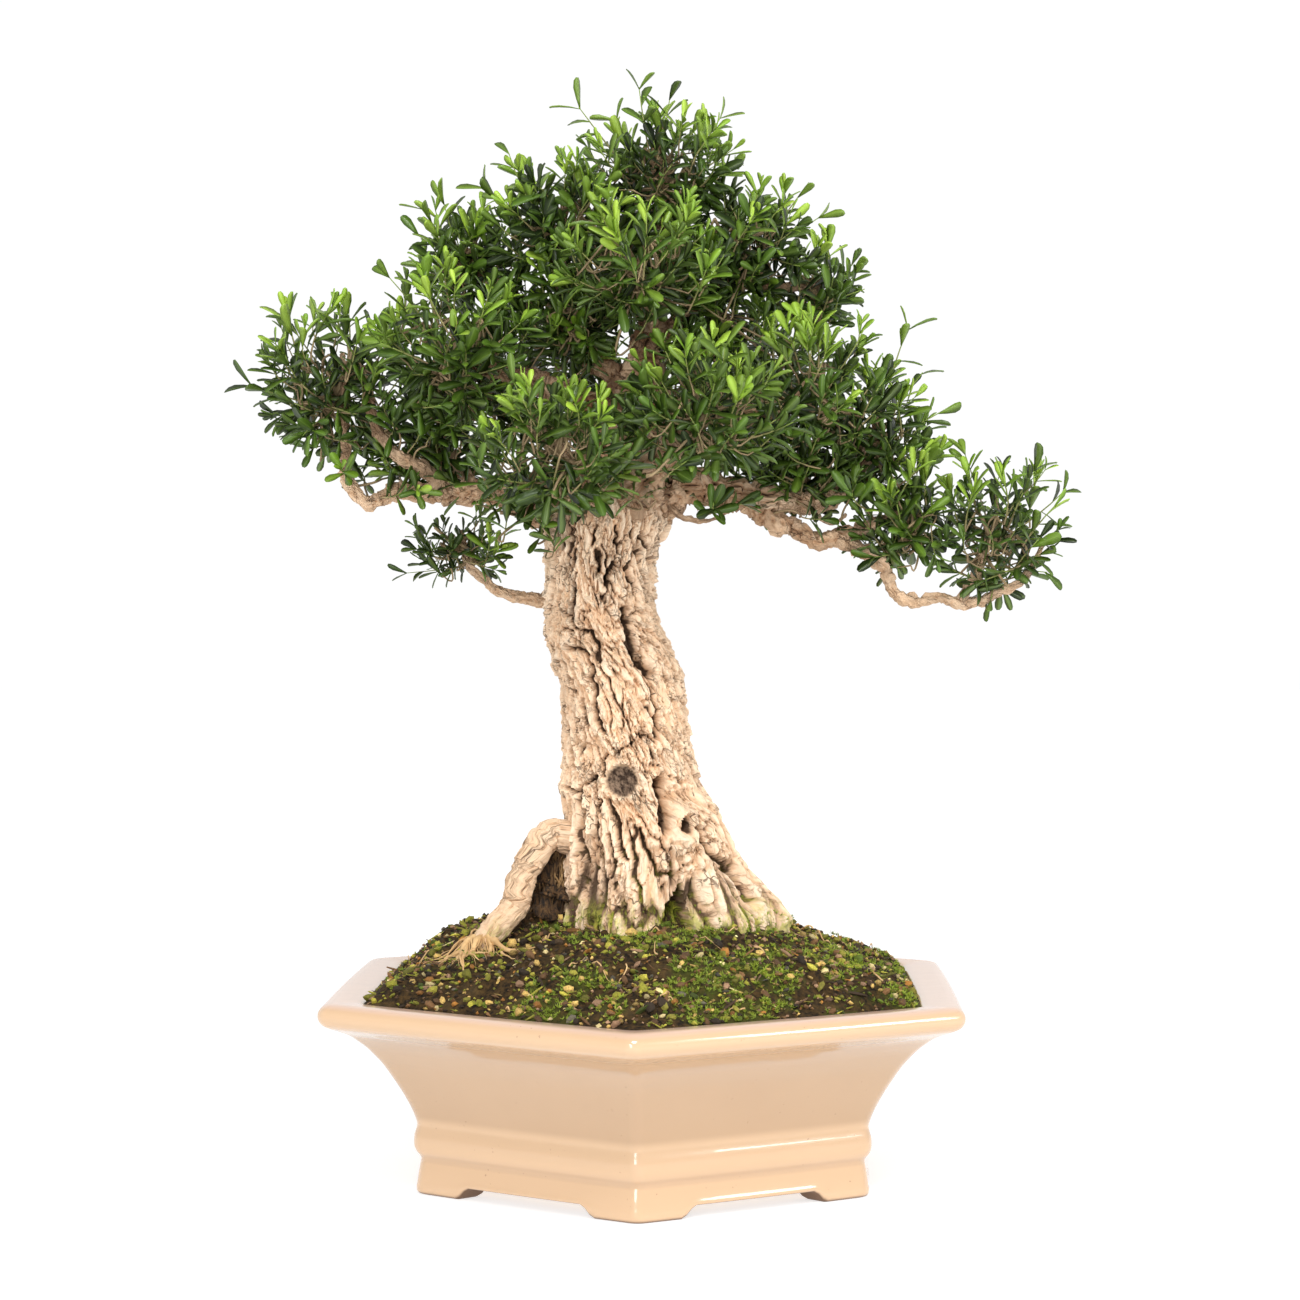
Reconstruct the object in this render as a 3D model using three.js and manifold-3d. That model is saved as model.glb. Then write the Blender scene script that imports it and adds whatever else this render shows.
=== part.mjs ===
// Chinese boxwood bonsai in a hexagonal glazed pot.
// Millimetres, +Z up. The origin is on the floor, on the pot's axis.
// A corner of the pot faces the viewer, along -Y.

import * as THREE from "three";
import { mergeVertices } from "three/addons/utils/BufferGeometryUtils.js";
import Module from "manifold-3d";

const wasm = await Module();
wasm.setup();

// Driving dimensions of the pot, measured across the flats of the hexagon
const RIM_WIDTH = 360;
const RIM_HEIGHT = 112.4;
const LIP_INSET = 24;
const FLOOR_TOP = 24;
const FLOOR_UNDERSIDE = 12;
const FOOT_WALL = 14;
const FOOT_CUT_WIDTH = 92;
const FOOT_CUT_HEIGHT = 7;
const DRAIN_HOLE_RADIUS = 11;
const DRAIN_HOLE_PLACE = 52;

// Driving dimensions of the tree, its soil and its leaves. The leaves are fewer than the real
// tree's and half as large again.
const TREE_TURN = 1.95;
const SOIL_EDGE = 108;
const SOIL_CROWN = 153;
const FORK_HEIGHT = 412;
const LEAF_LENGTH = 31;
const LEAF_WIDTH = 12;
const LEAF_THICKNESS = 1.3;
const FIT_GAP = 0.3;

const HEX_SIDES = 6;
const RIGHT_ANGLE = Math.PI / 2;
const degrees = THREE.MathUtils.degToRad;
const smooth = THREE.MathUtils.smoothstep;
const lerp = THREE.MathUtils.lerp;

const materials = {
  glaze: new THREE.MeshStandardMaterial({ color: 0xf0d3ac, roughness: 0.18, metalness: 0 }),
  soil: new THREE.MeshStandardMaterial({ color: 0x3b2c1c, roughness: 0.95, metalness: 0 }),
  bark: new THREE.MeshStandardMaterial({ color: 0xd9bd93, roughness: 0.9, metalness: 0 }),
  leaf: new THREE.MeshStandardMaterial({ color: 0x2f5a20, roughness: 0.4, metalness: 0 }),
  screen: new THREE.MeshStandardMaterial({ color: 0x23262a, roughness: 0.6, metalness: 0 }),
};

// A repeatable draw between 0 and 1 for a seed and a running number
function draw(seed, count) {
  const wave = Math.sin(seed * 127.1 + count * 311.7) * 43758.5453;
  return wave - Math.floor(wave);
}

// A closed geometry as an exact solid
function solid(geometry) {
  const bare = geometry.clone();
  bare.deleteAttribute("normal");
  bare.deleteAttribute("uv");
  const merged = mergeVertices(bare, 1e-3);
  const mesh = new wasm.Mesh({
    numProp: 3,
    vertProperties: new Float32Array(merged.attributes.position.array),
    triVerts: new Uint32Array(merged.index.array),
  });
  mesh.merge();
  return new wasm.Manifold(mesh);
}

// The largest body of an exact solid, as a geometry; scraps that a cut leaves loose are dropped
function largest(body) {
  const bodies = body.decompose().sort((a, b) => b.volume() - a.volume());
  const mesh = bodies[0].getMesh();
  const geometry = new THREE.BufferGeometry();
  geometry.setAttribute("position", new THREE.BufferAttribute(mesh.vertProperties, 3));
  geometry.setIndex(new THREE.BufferAttribute(mesh.triVerts, 1));
  return geometry;
}

// The same once more, because points that meet are merged and a scrap can hang on by one of them
function geometryOf(body) {
  const geometry = largest(solid(largest(body)));
  geometry.computeVertexNormals();
  return geometry;
}

function join(bodies) {
  return bodies.reduce((whole, body) => whole.add(body));
}

function namedMesh(name, geometry, material) {
  const mesh = new THREE.Mesh(geometry, material);
  mesh.name = name;
  return mesh;
}

// A closed skin over rings that all have the same number of points. A pole closes each end.
function skin(rings, firstPole, lastPole) {
  const points = [firstPole, ...rings.flat(), lastPole];
  const count = rings[0].length;
  const last = points.length - 1;
  const faces = [];
  for (let side = 0; side < count; side++) {
    const next = (side + 1) % count;
    faces.push(0, 1 + next, 1 + side);
    for (let ring = 0; ring < rings.length - 1; ring++) {
      const low = 1 + ring * count;
      const high = low + count;
      faces.push(low + side, low + next, high + next);
      faces.push(low + side, high + next, high + side);
    }
    const end = last - count;
    faces.push(last, end + side, end + next);
  }
  const geometry = new THREE.BufferGeometry().setFromPoints(points);
  geometry.setIndex(faces);
  return geometry;
}

// One ring of the hexagon: three arc steps round each corner and a slightly bowed middle on each side
function hexRing(halfWidth, z, cornerRadius = 9, bow = 1.2) {
  const reach = (halfWidth - cornerRadius) / Math.cos(Math.PI / HEX_SIDES);
  const ring = [];
  for (let side = 0; side < HEX_SIDES; side++) {
    const corner = degrees(60 * side - 90);
    for (const turn of [-30, -10, 10, 30]) {
      const angle = corner + degrees(turn);
      const x = reach * Math.cos(corner) + cornerRadius * Math.cos(angle);
      const y = reach * Math.sin(corner) + cornerRadius * Math.sin(angle);
      ring.push(new THREE.Vector3(x, y, z));
    }
    const middle = corner + degrees(30);
    const out = halfWidth + bow;
    ring.push(new THREE.Vector3(out * Math.cos(middle), out * Math.sin(middle), z));
  }
  return ring;
}

// Half the pot's width at each height, from the foot up over the lip and down inside to the floor
const rimHalf = RIM_WIDTH / 2;
const outerProfile = [
  [rimHalf - 53.5, 0],
  [rimHalf - 51.7, 2.5],
  [rimHalf - 54, 20.5],
  [rimHalf - 50, 26],
  [rimHalf - 50, 33],
  [rimHalf - 51.6, 39.5],
  [rimHalf - 46.5, 54],
  [rimHalf - 36, 73],
  [rimHalf - 25.2, 86],
  [rimHalf - 14, 94.4],
  [rimHalf - 3.2, 98.6],
  [rimHalf, 104],
  [rimHalf - 1.6, 109.6],
  [rimHalf - 6, RIM_HEIGHT],
];
const innerProfile = [
  [rimHalf - LIP_INSET, RIM_HEIGHT],
  [rimHalf - LIP_INSET - 3, RIM_HEIGHT - 3],
  [rimHalf - 34, 92],
  [rimHalf - 56, 54],
  [rimHalf - 64, FLOOR_TOP],
];

function makePot() {
  const footInside = outerProfile[0][0] - FOOT_WALL;
  const recess = [[footInside, FLOOR_UNDERSIDE], [footInside, 0]];
  const rings = [...recess, ...outerProfile, ...innerProfile].map(([half, z]) => hexRing(half, z));
  const underside = new THREE.Vector3(0, 0, FLOOR_UNDERSIDE);
  const floor = new THREE.Vector3(0, 0, FLOOR_TOP);
  let pot = solid(skin(rings, underside, floor));
  for (const cut of footCuts()) {
    pot = pot.subtract(cut);
  }
  for (const place of drainPlaces()) {
    const hole = new THREE.CylinderGeometry(DRAIN_HOLE_RADIUS, DRAIN_HOLE_RADIUS, 40, 12);
    hole.rotateX(RIGHT_ANGLE);
    hole.translate(place.x, place.y, FLOOR_UNDERSIDE);
    pot = pot.subtract(solid(hole));
  }
  return namedMesh("pot", geometryOf(pot), materials.glaze);
}

// A low arch right across the pot for each pair of sides, which leaves a foot at each corner
function footCuts() {
  const half = FOOT_CUT_WIDTH / 2;
  const round = FOOT_CUT_HEIGHT;
  const arch = new THREE.Shape();
  arch.moveTo(-half, -5);
  arch.lineTo(half, -5);
  arch.lineTo(half, 0);
  arch.quadraticCurveTo(half - 1, FOOT_CUT_HEIGHT, half - round - 2, FOOT_CUT_HEIGHT);
  arch.lineTo(2 + round - half, FOOT_CUT_HEIGHT);
  arch.quadraticCurveTo(1 - half, FOOT_CUT_HEIGHT, -half, 0);
  return [0, 60, 120].map((turn) => {
    const depth = 2 * RIM_WIDTH;
    const cut = new THREE.ExtrudeGeometry(arch, { depth, bevelEnabled: false, curveSegments: 3 });
    cut.translate(0, 0, -RIM_WIDTH);
    cut.rotateX(RIGHT_ANGLE);
    cut.rotateZ(RIGHT_ANGLE + degrees(turn));
    return solid(cut);
  });
}

function drainPlaces() {
  return [90, 210, 330].map((turn) => {
    const angle = degrees(turn);
    const x = DRAIN_HOLE_PLACE * Math.cos(angle);
    const y = DRAIN_HOLE_PLACE * Math.sin(angle);
    return new THREE.Vector3(x, y, FLOOR_TOP + FIT_GAP);
  });
}

// A plastic lattice that lies on the floor over each drain hole and keeps the soil in
const SCREEN_SIZE = 34;
const SCREEN_THICKNESS = 1.4;
const SCREEN_CELLS = 2;
const SCREEN_BAR = 4;

function makeScreens() {
  const pitch = SCREEN_SIZE / SCREEN_CELLS;
  const cell = pitch - SCREEN_BAR;
  let plate = solid(new THREE.BoxGeometry(SCREEN_SIZE, SCREEN_SIZE, SCREEN_THICKNESS));
  for (let row = 0; row < SCREEN_CELLS; row++) {
    for (let column = 0; column < SCREEN_CELLS; column++) {
      const hole = new THREE.BoxGeometry(cell, cell, 2 * SCREEN_THICKNESS);
      hole.translate((column + 0.5) * pitch - SCREEN_SIZE / 2, (row + 0.5) * pitch - SCREEN_SIZE / 2, 0);
      plate = plate.subtract(solid(hole));
    }
  }
  return drainPlaces().map((place, index) => {
    const screen = namedMesh(`drain_screen_${index + 1}`, geometryOf(plate), materials.screen);
    screen.position.copy(place).setZ(place.z + SCREEN_THICKNESS / 2);
    return screen;
  });
}

// The trunk's height, middle and half widths, from the stump in the soil to the fork
const trunkStations = [
  { z: 62, x: 5, y: 0, across: 36, deep: 34 },
  { z: 120, x: 4, y: 0, across: 47, deep: 46 },
  { z: 145, x: 3, y: 0, across: 49, deep: 47 },
  { z: 160, x: 2, y: 0, across: 48, deep: 45 },
  { z: 175, x: 1, y: 0, across: 47.5, deep: 43 },
  { z: 193, x: 0, y: 0, across: 46.5, deep: 41 },
  { z: 211, x: -3.5, y: 0, across: 44, deep: 39 },
  { z: 229, x: -9, y: 0, across: 40, deep: 37 },
  { z: 248, x: -11, y: 0, across: 37, deep: 36 },
  { z: 267, x: -13, y: 0, across: 36, deep: 35 },
  { z: 286, x: -14.5, y: 0, across: 35.5, deep: 34 },
  { z: 301, x: -18, y: 0, across: 36, deep: 34 },
  { z: 313, x: -23, y: -1, across: 35, deep: 33 },
  { z: 330, x: -27.5, y: -1, across: 31.5, deep: 31 },
  { z: 344, x: -28, y: -2, across: 30, deep: 30 },
  { z: 362, x: -29, y: -2, across: 29.5, deep: 30 },
  { z: 375, x: -27, y: -2, across: 32, deep: 31 },
  { z: 388, x: -26, y: -2, across: 37, deep: 33 },
  { z: 400, x: -25, y: -2, across: 34, deep: 31 },
  { z: FORK_HEIGHT, x: -22, y: -2, across: 24, deep: 23 },
];

// Root flares at the foot of the trunk: heading, reach at the soil, start height and half spread
const rootFlares = [
  { heading: -6, reach: 27, top: 205, spread: 20 },
  { heading: -47, reach: 24, top: 232, spread: 17 },
  { heading: -104, reach: 20, top: 215, spread: 22 },
  { heading: -145, reach: 9, top: 195, spread: 18 },
  { heading: 42, reach: 19, top: 205, spread: 19 },
  { heading: 96, reach: 22, top: 215, spread: 22 },
  { heading: 146, reach: 17, top: 200, spread: 19 },
];
const FLARE_LEVEL = 148;
const BARK_RIDGES = 13;

// How far the bark stands out at a heading and height, with the flares and the corky ridges added
function barkRelief(heading, z) {
  let relief = 0;
  for (const flare of rootFlares) {
    const off = Math.abs(THREE.MathUtils.euclideanModulo(heading - flare.heading + 180, 360) - 180);
    const rise = smooth(flare.top - z, 0, flare.top - FLARE_LEVEL);
    relief += flare.reach * rise ** 1.5 * Math.exp(-((off / flare.spread) ** 2));
  }
  const drift = 2.2 * Math.sin(z / 19) + 0.05 * z * smooth(z, 190, 330);
  const ridge = Math.cos(degrees(BARK_RIDGES * heading) + drift);
  return relief + 1.9 * ridge + 0.9 * Math.sin(z / 6 + degrees(4 * heading));
}

function trunkRing(station, clearance) {
  const sides = 2 * BARK_RIDGES;
  const ring = [];
  for (let side = 0; side < sides; side++) {
    const heading = (360 * side) / sides;
    const angle = degrees(heading);
    const relief = barkRelief(heading, station.z) + clearance;
    const x = station.x + (station.across + relief) * Math.cos(angle);
    const y = station.y + (station.deep + relief) * Math.sin(angle);
    ring.push(new THREE.Vector3(x, y, station.z));
  }
  return ring;
}

function makeTrunk(clearance) {
  const rings = [];
  trunkStations.forEach((station, index) => {
    if (station.z > SOIL_CROWN && station.z < 300) {
      const before = trunkStations[index - 1];
      const between = {};
      for (const key of Object.keys(station)) {
        between[key] = lerp(before[key], station[key], 0.5);
      }
      rings.push(trunkRing(between, clearance));
    }
    rings.push(trunkRing(station, clearance));
  });
  const bottom = trunkStations[0];
  const top = trunkStations[trunkStations.length - 1];
  const underside = new THREE.Vector3(bottom.x, bottom.y, bottom.z - clearance);
  const crown = new THREE.Vector3(top.x, top.y, top.z + 4 + clearance);
  return solid(skin(rings, underside, crown));
}

// A bough or root: a round, slightly knotty section carried along a smooth curve through
// hand-chosen points, each of them x, y, z and the radius there
function makeLimb(points, seed, clearance, sides = 5) {
  const places = points.map(([x, y, z]) => new THREE.Vector3(x, y, z));
  const curve = new THREE.CatmullRomCurve3(places, false, "centripetal");
  const steps = points.length - 1;
  const frames = curve.computeFrenetFrames(steps, false);
  const rings = [];
  for (let step = 0; step <= steps; step++) {
    const along = curve.getUtoTmapping(step / steps) * (points.length - 1);
    const index = Math.min(Math.floor(along), points.length - 2);
    const radius = lerp(points[index][3], points[index + 1][3], along - index);
    const centre = curve.getPointAt(step / steps);
    const ring = [];
    for (let side = 0; side < sides; side++) {
      const angle = (2 * Math.PI * side) / sides;
      const knotty = radius * (1 + 0.16 * (draw(seed, step * sides + side) - 0.5)) + clearance;
      const point = centre.clone();
      point.addScaledVector(frames.normals[step], knotty * Math.cos(angle));
      point.addScaledVector(frames.binormals[step], knotty * Math.sin(angle));
      ring.push(point);
    }
    rings.push(ring);
  }
  const start = curve.getPointAt(0).addScaledVector(frames.tangents[0], -clearance);
  const end = curve.getPointAt(1).addScaledVector(frames.tangents[steps], clearance);
  return solid(skin(rings, start, end));
}

const archedRoot = [
  [-30, -8, 196, 10],
  [-44, -14, 204, 10],
  [-57, -20, 205, 9.5],
  [-66, -27, 193, 8.5],
  [-69, -33, 179, 8],
  [-76, -38, 166, 7.6],
  [-85, -43, 153, 7],
  [-93, -47, 141, 6],
  [-101, -51, 126, 4.5],
];

const boughs = {
  leader: [[-26, -2, 385, 27], [-20, 2, 415, 23], [-8, 6, 445, 17], [-3, 4, 475, 13.5], [3, 0, 505, 10.5],
    [9, 0, 540, 8], [10, 0, 572, 6], [8, 0, 602, 4.5]],
  left: [[-36, -4, 384, 20], [-66, -8, 397, 14], [-90, -10, 404, 10.5], [-108, -8, 402, 9],
    [-127, -8, 403, 8], [-148, -6, 404, 7], [-158, -5, 399, 6], [-168, -4, 401, 5.6],
    [-177, -2, 416, 5], [-180, -2, 436, 4.4], [-178, 0, 462, 3.4]],
  left_rising: [[-118, -8, 403, 6.5], [-131, -16, 416, 6], [-147, -18, 429, 5.4], [-160, -14, 445, 4.4],
    [-166, -8, 464, 3.4]],
  left_inner: [[-100, -9, 404, 6.5], [-110, 0, 416, 5], [-120, 8, 432, 4]],
  left_high: [[-12, 4, 440, 13], [-40, 0, 458, 10], [-75, -18, 470, 8], [-102, -35, 482, 5.5]],
  left_low: [[-42, 6, 342, 13], [-62, 16, 340, 9], [-77, 25, 341, 7], [-93, 33, 347, 6],
    [-104, 38, 356, 5], [-110, 42, 368, 4]],
  left_shoulder: [[-28, 2, 484, 8], [-55, 8, 505, 6.5], [-82, 16, 525, 5.2], [-104, 23, 543, 4]],
  rising: [[-6, 4, 458, 11], [-28, 2, 483, 9], [-44, -2, 508, 7], [-50, -8, 538, 5.4], [-50, -10, 562, 4]],
  middle: [[-34, 0, 489, 7], [-40, -8, 500, 5.5], [-44, -13, 508, 4]],
  right: [[-10, -4, 385, 23], [10, -6, 402, 17], [35, -8, 406, 13], [60, -10, 402, 11], [83, -10, 398.5, 9.5],
    [104, -8, 399, 8.2], [122, -4, 411, 6.5], [134, 0, 432, 4.6]],
  right_low: [[56, -10, 400, 9], [72, -12, 389, 8.5], [90, -14, 379, 8], [104, -14, 374, 7.5],
    [120, -14, 379, 6.5], [131, -14, 384, 5.5], [146, -14, 389, 4]],
  cascade: [[112, -14, 376, 6.6], [126, -12, 369, 6], [140, -10, 356, 5.6], [150, -9, 344, 5.4],
    [158, -8, 338.5, 5], [173, -8, 342, 4.7], [188, -8, 338.5, 4.4], [203, -8, 340, 4], [219, -9, 348, 3.4],
    [228, -10, 358, 2.8]],
  cascade_rise: [[186, -8, 340, 4.2], [194, -9, 354, 3.8], [202, -10, 372, 3.2]],
  right_rise: [[84, -10, 399, 6], [89, -7, 408, 5], [91, -5, 416, 4]],
  right_middle: [[-2, 0, 455, 12], [30, -8, 455, 9.5], [62, -18, 453, 7.5], [86, -27, 458, 5.2]],
  right_high: [[3, 2, 495, 8.5], [24, 4, 512, 7], [44, 4, 530, 5.6], [52, 2, 548, 4.2]],
  right_shoulder: [[40, 5, 527, 5], [70, 16, 529, 4.4], [94, 26, 530, 3.6]],
  front_left: [[-30, -14, 392, 17], [-38, -40, 402, 12.5], [-46, -68, 413, 9], [-50, -88, 424, 6]],
  front_right: [[-15, -14, 395, 16], [0, -38, 412, 12], [15, -60, 428, 9], [27, -78, 441, 6]],
  crown_front: [[4, 0, 500, 8], [1, -24, 514, 6.6], [-3, -48, 529, 4.8]],
  crown_back: [[4, 2, 505, 7.5], [1, 26, 520, 6.2], [-3, 54, 539, 5], [-4, 68, 548, 3.8]],
  back: [[-18, 8, 412, 16], [-18, 44, 425, 12], [-18, 80, 443, 9], [-17, 110, 458, 6]],
  back_left: [[-18, 48, 427, 9], [-45, 68, 445, 7.4], [-72, 84, 461, 5.8], [-91, 92, 473, 4.4]],
  back_right: [[-17, 36, 424, 9], [10, 58, 444, 7.6], [38, 78, 464, 6], [62, 91, 478, 4.4]],
};

// The collar of bark that has grown round a pruning cut on the front, and the cut's sunk face
function makeScar(tree) {
  const at = { x: -14.5, y: -34, z: 234 };
  const collar = new THREE.SphereGeometry(1, 12, 8);
  collar.scale(12, 7, 11.5);
  collar.translate(at.x, at.y, at.z);
  const face = new THREE.CylinderGeometry(8.6, 8.6, 8, 12);
  face.translate(at.x, at.y - 8, at.z);
  return tree.add(solid(collar)).subtract(solid(face));
}

// A swirl of bark round a hollow knot, above the long root at the right front
function makeKnot(tree) {
  const at = { x: 20, y: -38, z: 206 };
  const swirl = new THREE.SphereGeometry(1, 10, 7);
  swirl.scale(11, 8, 15);
  swirl.translate(at.x, at.y, at.z);
  const hollow = new THREE.SphereGeometry(1, 8, 6);
  hollow.scale(4.2, 8, 6);
  hollow.translate(at.x + 1, at.y - 8, at.z);
  return tree.add(solid(swirl)).subtract(solid(hollow));
}

// The whole tree as one grown piece. A clearance makes it that much stouter, for the holes that it
// stands in.
function growTree(clearance = 0) {
  const limbs = Object.values(boughs).map((points, seed) => makeLimb(points, seed, clearance));
  const root = makeLimb(archedRoot, 50, clearance, 8);
  const tree = join([makeTrunk(clearance), root, ...limbs]);
  return makeKnot(makeScar(tree)).rotate([0, 0, TREE_TURN]);
}

// The soil's height at a distance from the axis, as a share of the pot's inside, with clods and hollows
function soilHeight(share, x, y) {
  const mound = SOIL_EDGE + (SOIL_CROWN - SOIL_EDGE) * (1 - share ** 2.6) ** 1.15;
  const clods = 1.6 * Math.sin(x / 9 + 1.3 * Math.sin(y / 13)) * Math.sin(y / 8 + x / 21);
  return mound + clods * smooth(1 - share, 0, 0.12);
}

function makeSoil(treeHole) {
  const wall = innerProfile.slice(2).reverse();
  const rings = wall.map(([half, z]) => hexRing(half - FIT_GAP, Math.max(z, FLOOR_TOP + FIT_GAP)));
  rings.push(hexRing(rimHalf - LIP_INSET - 5, SOIL_EDGE));
  const edge = rings[rings.length - 1];
  const shares = [0.94, 0.84, 0.73, 0.6, 0.44, 0.2];
  for (const share of shares) {
    rings.push(edge.map((point) => moundPoint(point, share)));
  }
  const bottom = new THREE.Vector3(0, 0, FLOOR_TOP + FIT_GAP);
  const crown = new THREE.Vector3(0, 0, soilHeight(0, 0, 0));
  let soil = solid(skin(rings, bottom, crown));
  for (const pebble of makePebbles(edge)) {
    soil = soil.add(pebble);
  }
  for (const place of drainPlaces()) {
    const size = SCREEN_SIZE + 2 * FIT_GAP;
    const pocket = new THREE.BoxGeometry(size, size, 2 * (SCREEN_THICKNESS + FIT_GAP));
    pocket.translate(place.x, place.y, place.z);
    soil = soil.subtract(solid(pocket));
  }
  return namedMesh("soil", geometryOf(soil.subtract(treeHole)), materials.soil);
}

// A point of the mound between the axis and a point of its edge: hexagonal at the pot, round inside
function moundPoint(rim, share) {
  const round = (rimHalf - LIP_INSET) / Math.hypot(rim.x, rim.y);
  const pull = lerp(round, 1, smooth(share, 0.55, 1)) * share;
  const x = rim.x * pull;
  const y = rim.y * pull;
  return new THREE.Vector3(x, y, soilHeight(share, x, y));
}

// Coarse grit and bark chips, half sunk in the mound
function makePebbles(edge) {
  const count = 12;
  const pebbles = [];
  for (let index = 0; index < count; index++) {
    const heading = (index + 0.5 * draw(3, index)) / count;
    const rim = edge[Math.floor(heading * edge.length)];
    const share = 0.58 + 0.32 * draw(4, index);
    const size = 3.5 + 3 * draw(5, index);
    const pebble = new THREE.IcosahedronGeometry(size, 0);
    pebble.scale(1, 0.8, 0.7);
    pebble.rotateZ(index);
    const place = moundPoint(rim, share);
    pebble.translate(place.x, place.y, place.z + 0.2 * size);
    pebbles.push(solid(pebble));
  }
  return pebbles;
}

// The leafy sprays: middle x, y, z, then half width, half depth and half height, in the tree's own frame
const sprays = {
  apex: [8, 0, 605, 52, 46, 38],
  apex_left: [-49, -10, 568, 50, 42, 36],
  apex_right: [53, 0, 556, 54, 44, 37],
  crown_front: [-4, -60, 538, 50, 38, 36],
  crown_back: [-4, 70, 551, 52, 40, 38],
  left_shoulder: [-110, 25, 553, 36, 34, 30],
  right_shoulder: [102, 30, 532, 34, 32, 27],
  left_outer: [-185, 0, 474, 48, 46, 51],
  left_front: [-111, -45, 490, 48, 40, 46],
  left_inner: [-126, 14, 437, 42, 32, 28],
  middle: [-45, -16, 508, 38, 30, 32],
  front_left: [-51, -95, 430, 48, 42, 43],
  front_right: [30, -85, 448, 49, 42, 45],
  right_middle: [92, -30, 464, 52, 46, 43],
  right_inner: [92, -2, 421, 42, 36, 24],
  right_outer: [136, 2, 442, 38, 40, 38],
  cascade_inner: [154, -14, 389, 36, 34, 38],
  cascade_outer: [205, -10, 384, 43, 38, 43],
  left_low: [-114, 45, 378, 36, 30, 26],
  back_left: [-99, 95, 482, 50, 45, 45],
  back_right: [71, 95, 486, 52, 46, 45],
  back: [-17, 125, 468, 52, 42, 45],
};

// How deep a point lies in a spray: negative inside it, positive outside, in millimetres
function depthIn(spray, point) {
  const [x, y, z, across, deep, high] = spray;
  const share = Math.hypot((point.x - x) / across, (point.y - y) / deep, (point.z - z) / high);
  return (share - 1) * Math.cbrt(across * deep * high);
}

// Whether a point belongs to this spray rather than to a neighbour, with a margin to spare
function isOwn(spray, point, margin) {
  const own = depthIn(spray, point);
  return Object.values(sprays).every((other) => other === spray || own + margin < depthIn(other, point));
}

// A blade: widest past its middle, keeled below, channelled above, and arched down to its tip
function makeBlade(root, direction, up, length) {
  const side = new THREE.Vector3().crossVectors(direction, up).normalize().negate();
  const face = new THREE.Vector3().crossVectors(direction, side).normalize();
  const place = (along, across, lift) => root.clone()
    .addScaledVector(direction, along * length)
    .addScaledVector(side, across * LEAF_WIDTH)
    .addScaledVector(face, lift * length);
  const thick = LEAF_THICKNESS / length;
  return {
    under: place(0.62, 0, 0.02 - thick),
    right: place(0.66, 0.5, 0.05),
    over: place(0.6, 0, 0.02),
    left: place(0.66, -0.5, 0.05),
    tip: place(1, 0, -0.05),
  };
}

// The dark heart of a spray, a lumpy ball drawn in wherever a neighbour would be met
const CORE_SHARE = 0.46;

function makeCore(spray, seed) {
  const [x, y, z, across, deep, high] = spray;
  const centre = new THREE.Vector3(x, y, z);
  const ball = new THREE.IcosahedronGeometry(1, 0);
  ball.deleteAttribute("normal");
  ball.deleteAttribute("uv");
  const geometry = mergeVertices(ball);
  const position = geometry.attributes.position;
  for (let index = 0; index < position.count; index++) {
    const out = new THREE.Vector3().fromBufferAttribute(position, index);
    out.multiply(new THREE.Vector3(across, deep, high));
    let share = CORE_SHARE * (0.82 + 0.36 * draw(seed, index));
    while (share > 0.1 && !isOwn(spray, centre.clone().addScaledVector(out, share), 1.5)) {
      share -= 0.03;
    }
    const point = centre.clone().addScaledVector(out, share);
    position.setXYZ(index, point.x, point.y, point.z);
  }
  return solid(geometry);
}

// A shoot: a thin four-sided stem whose opposite faces grow out into leaves, each pair turned a
// quarter from the last. A leaf that would meet a neighbour is bent or shortened, or left out.
const PAIRS = 3;
const PAIR_SPACING = 4.2;
const STEM_RADII = [2.6, 2, 1.8, 1.7, 1.1];
const BENDS = [
  { open: 0, size: 1 },
  { open: -14, size: 0.9 },
  { open: 16, size: 0.8 },
  { open: -22, size: 0.65 },
];

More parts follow.
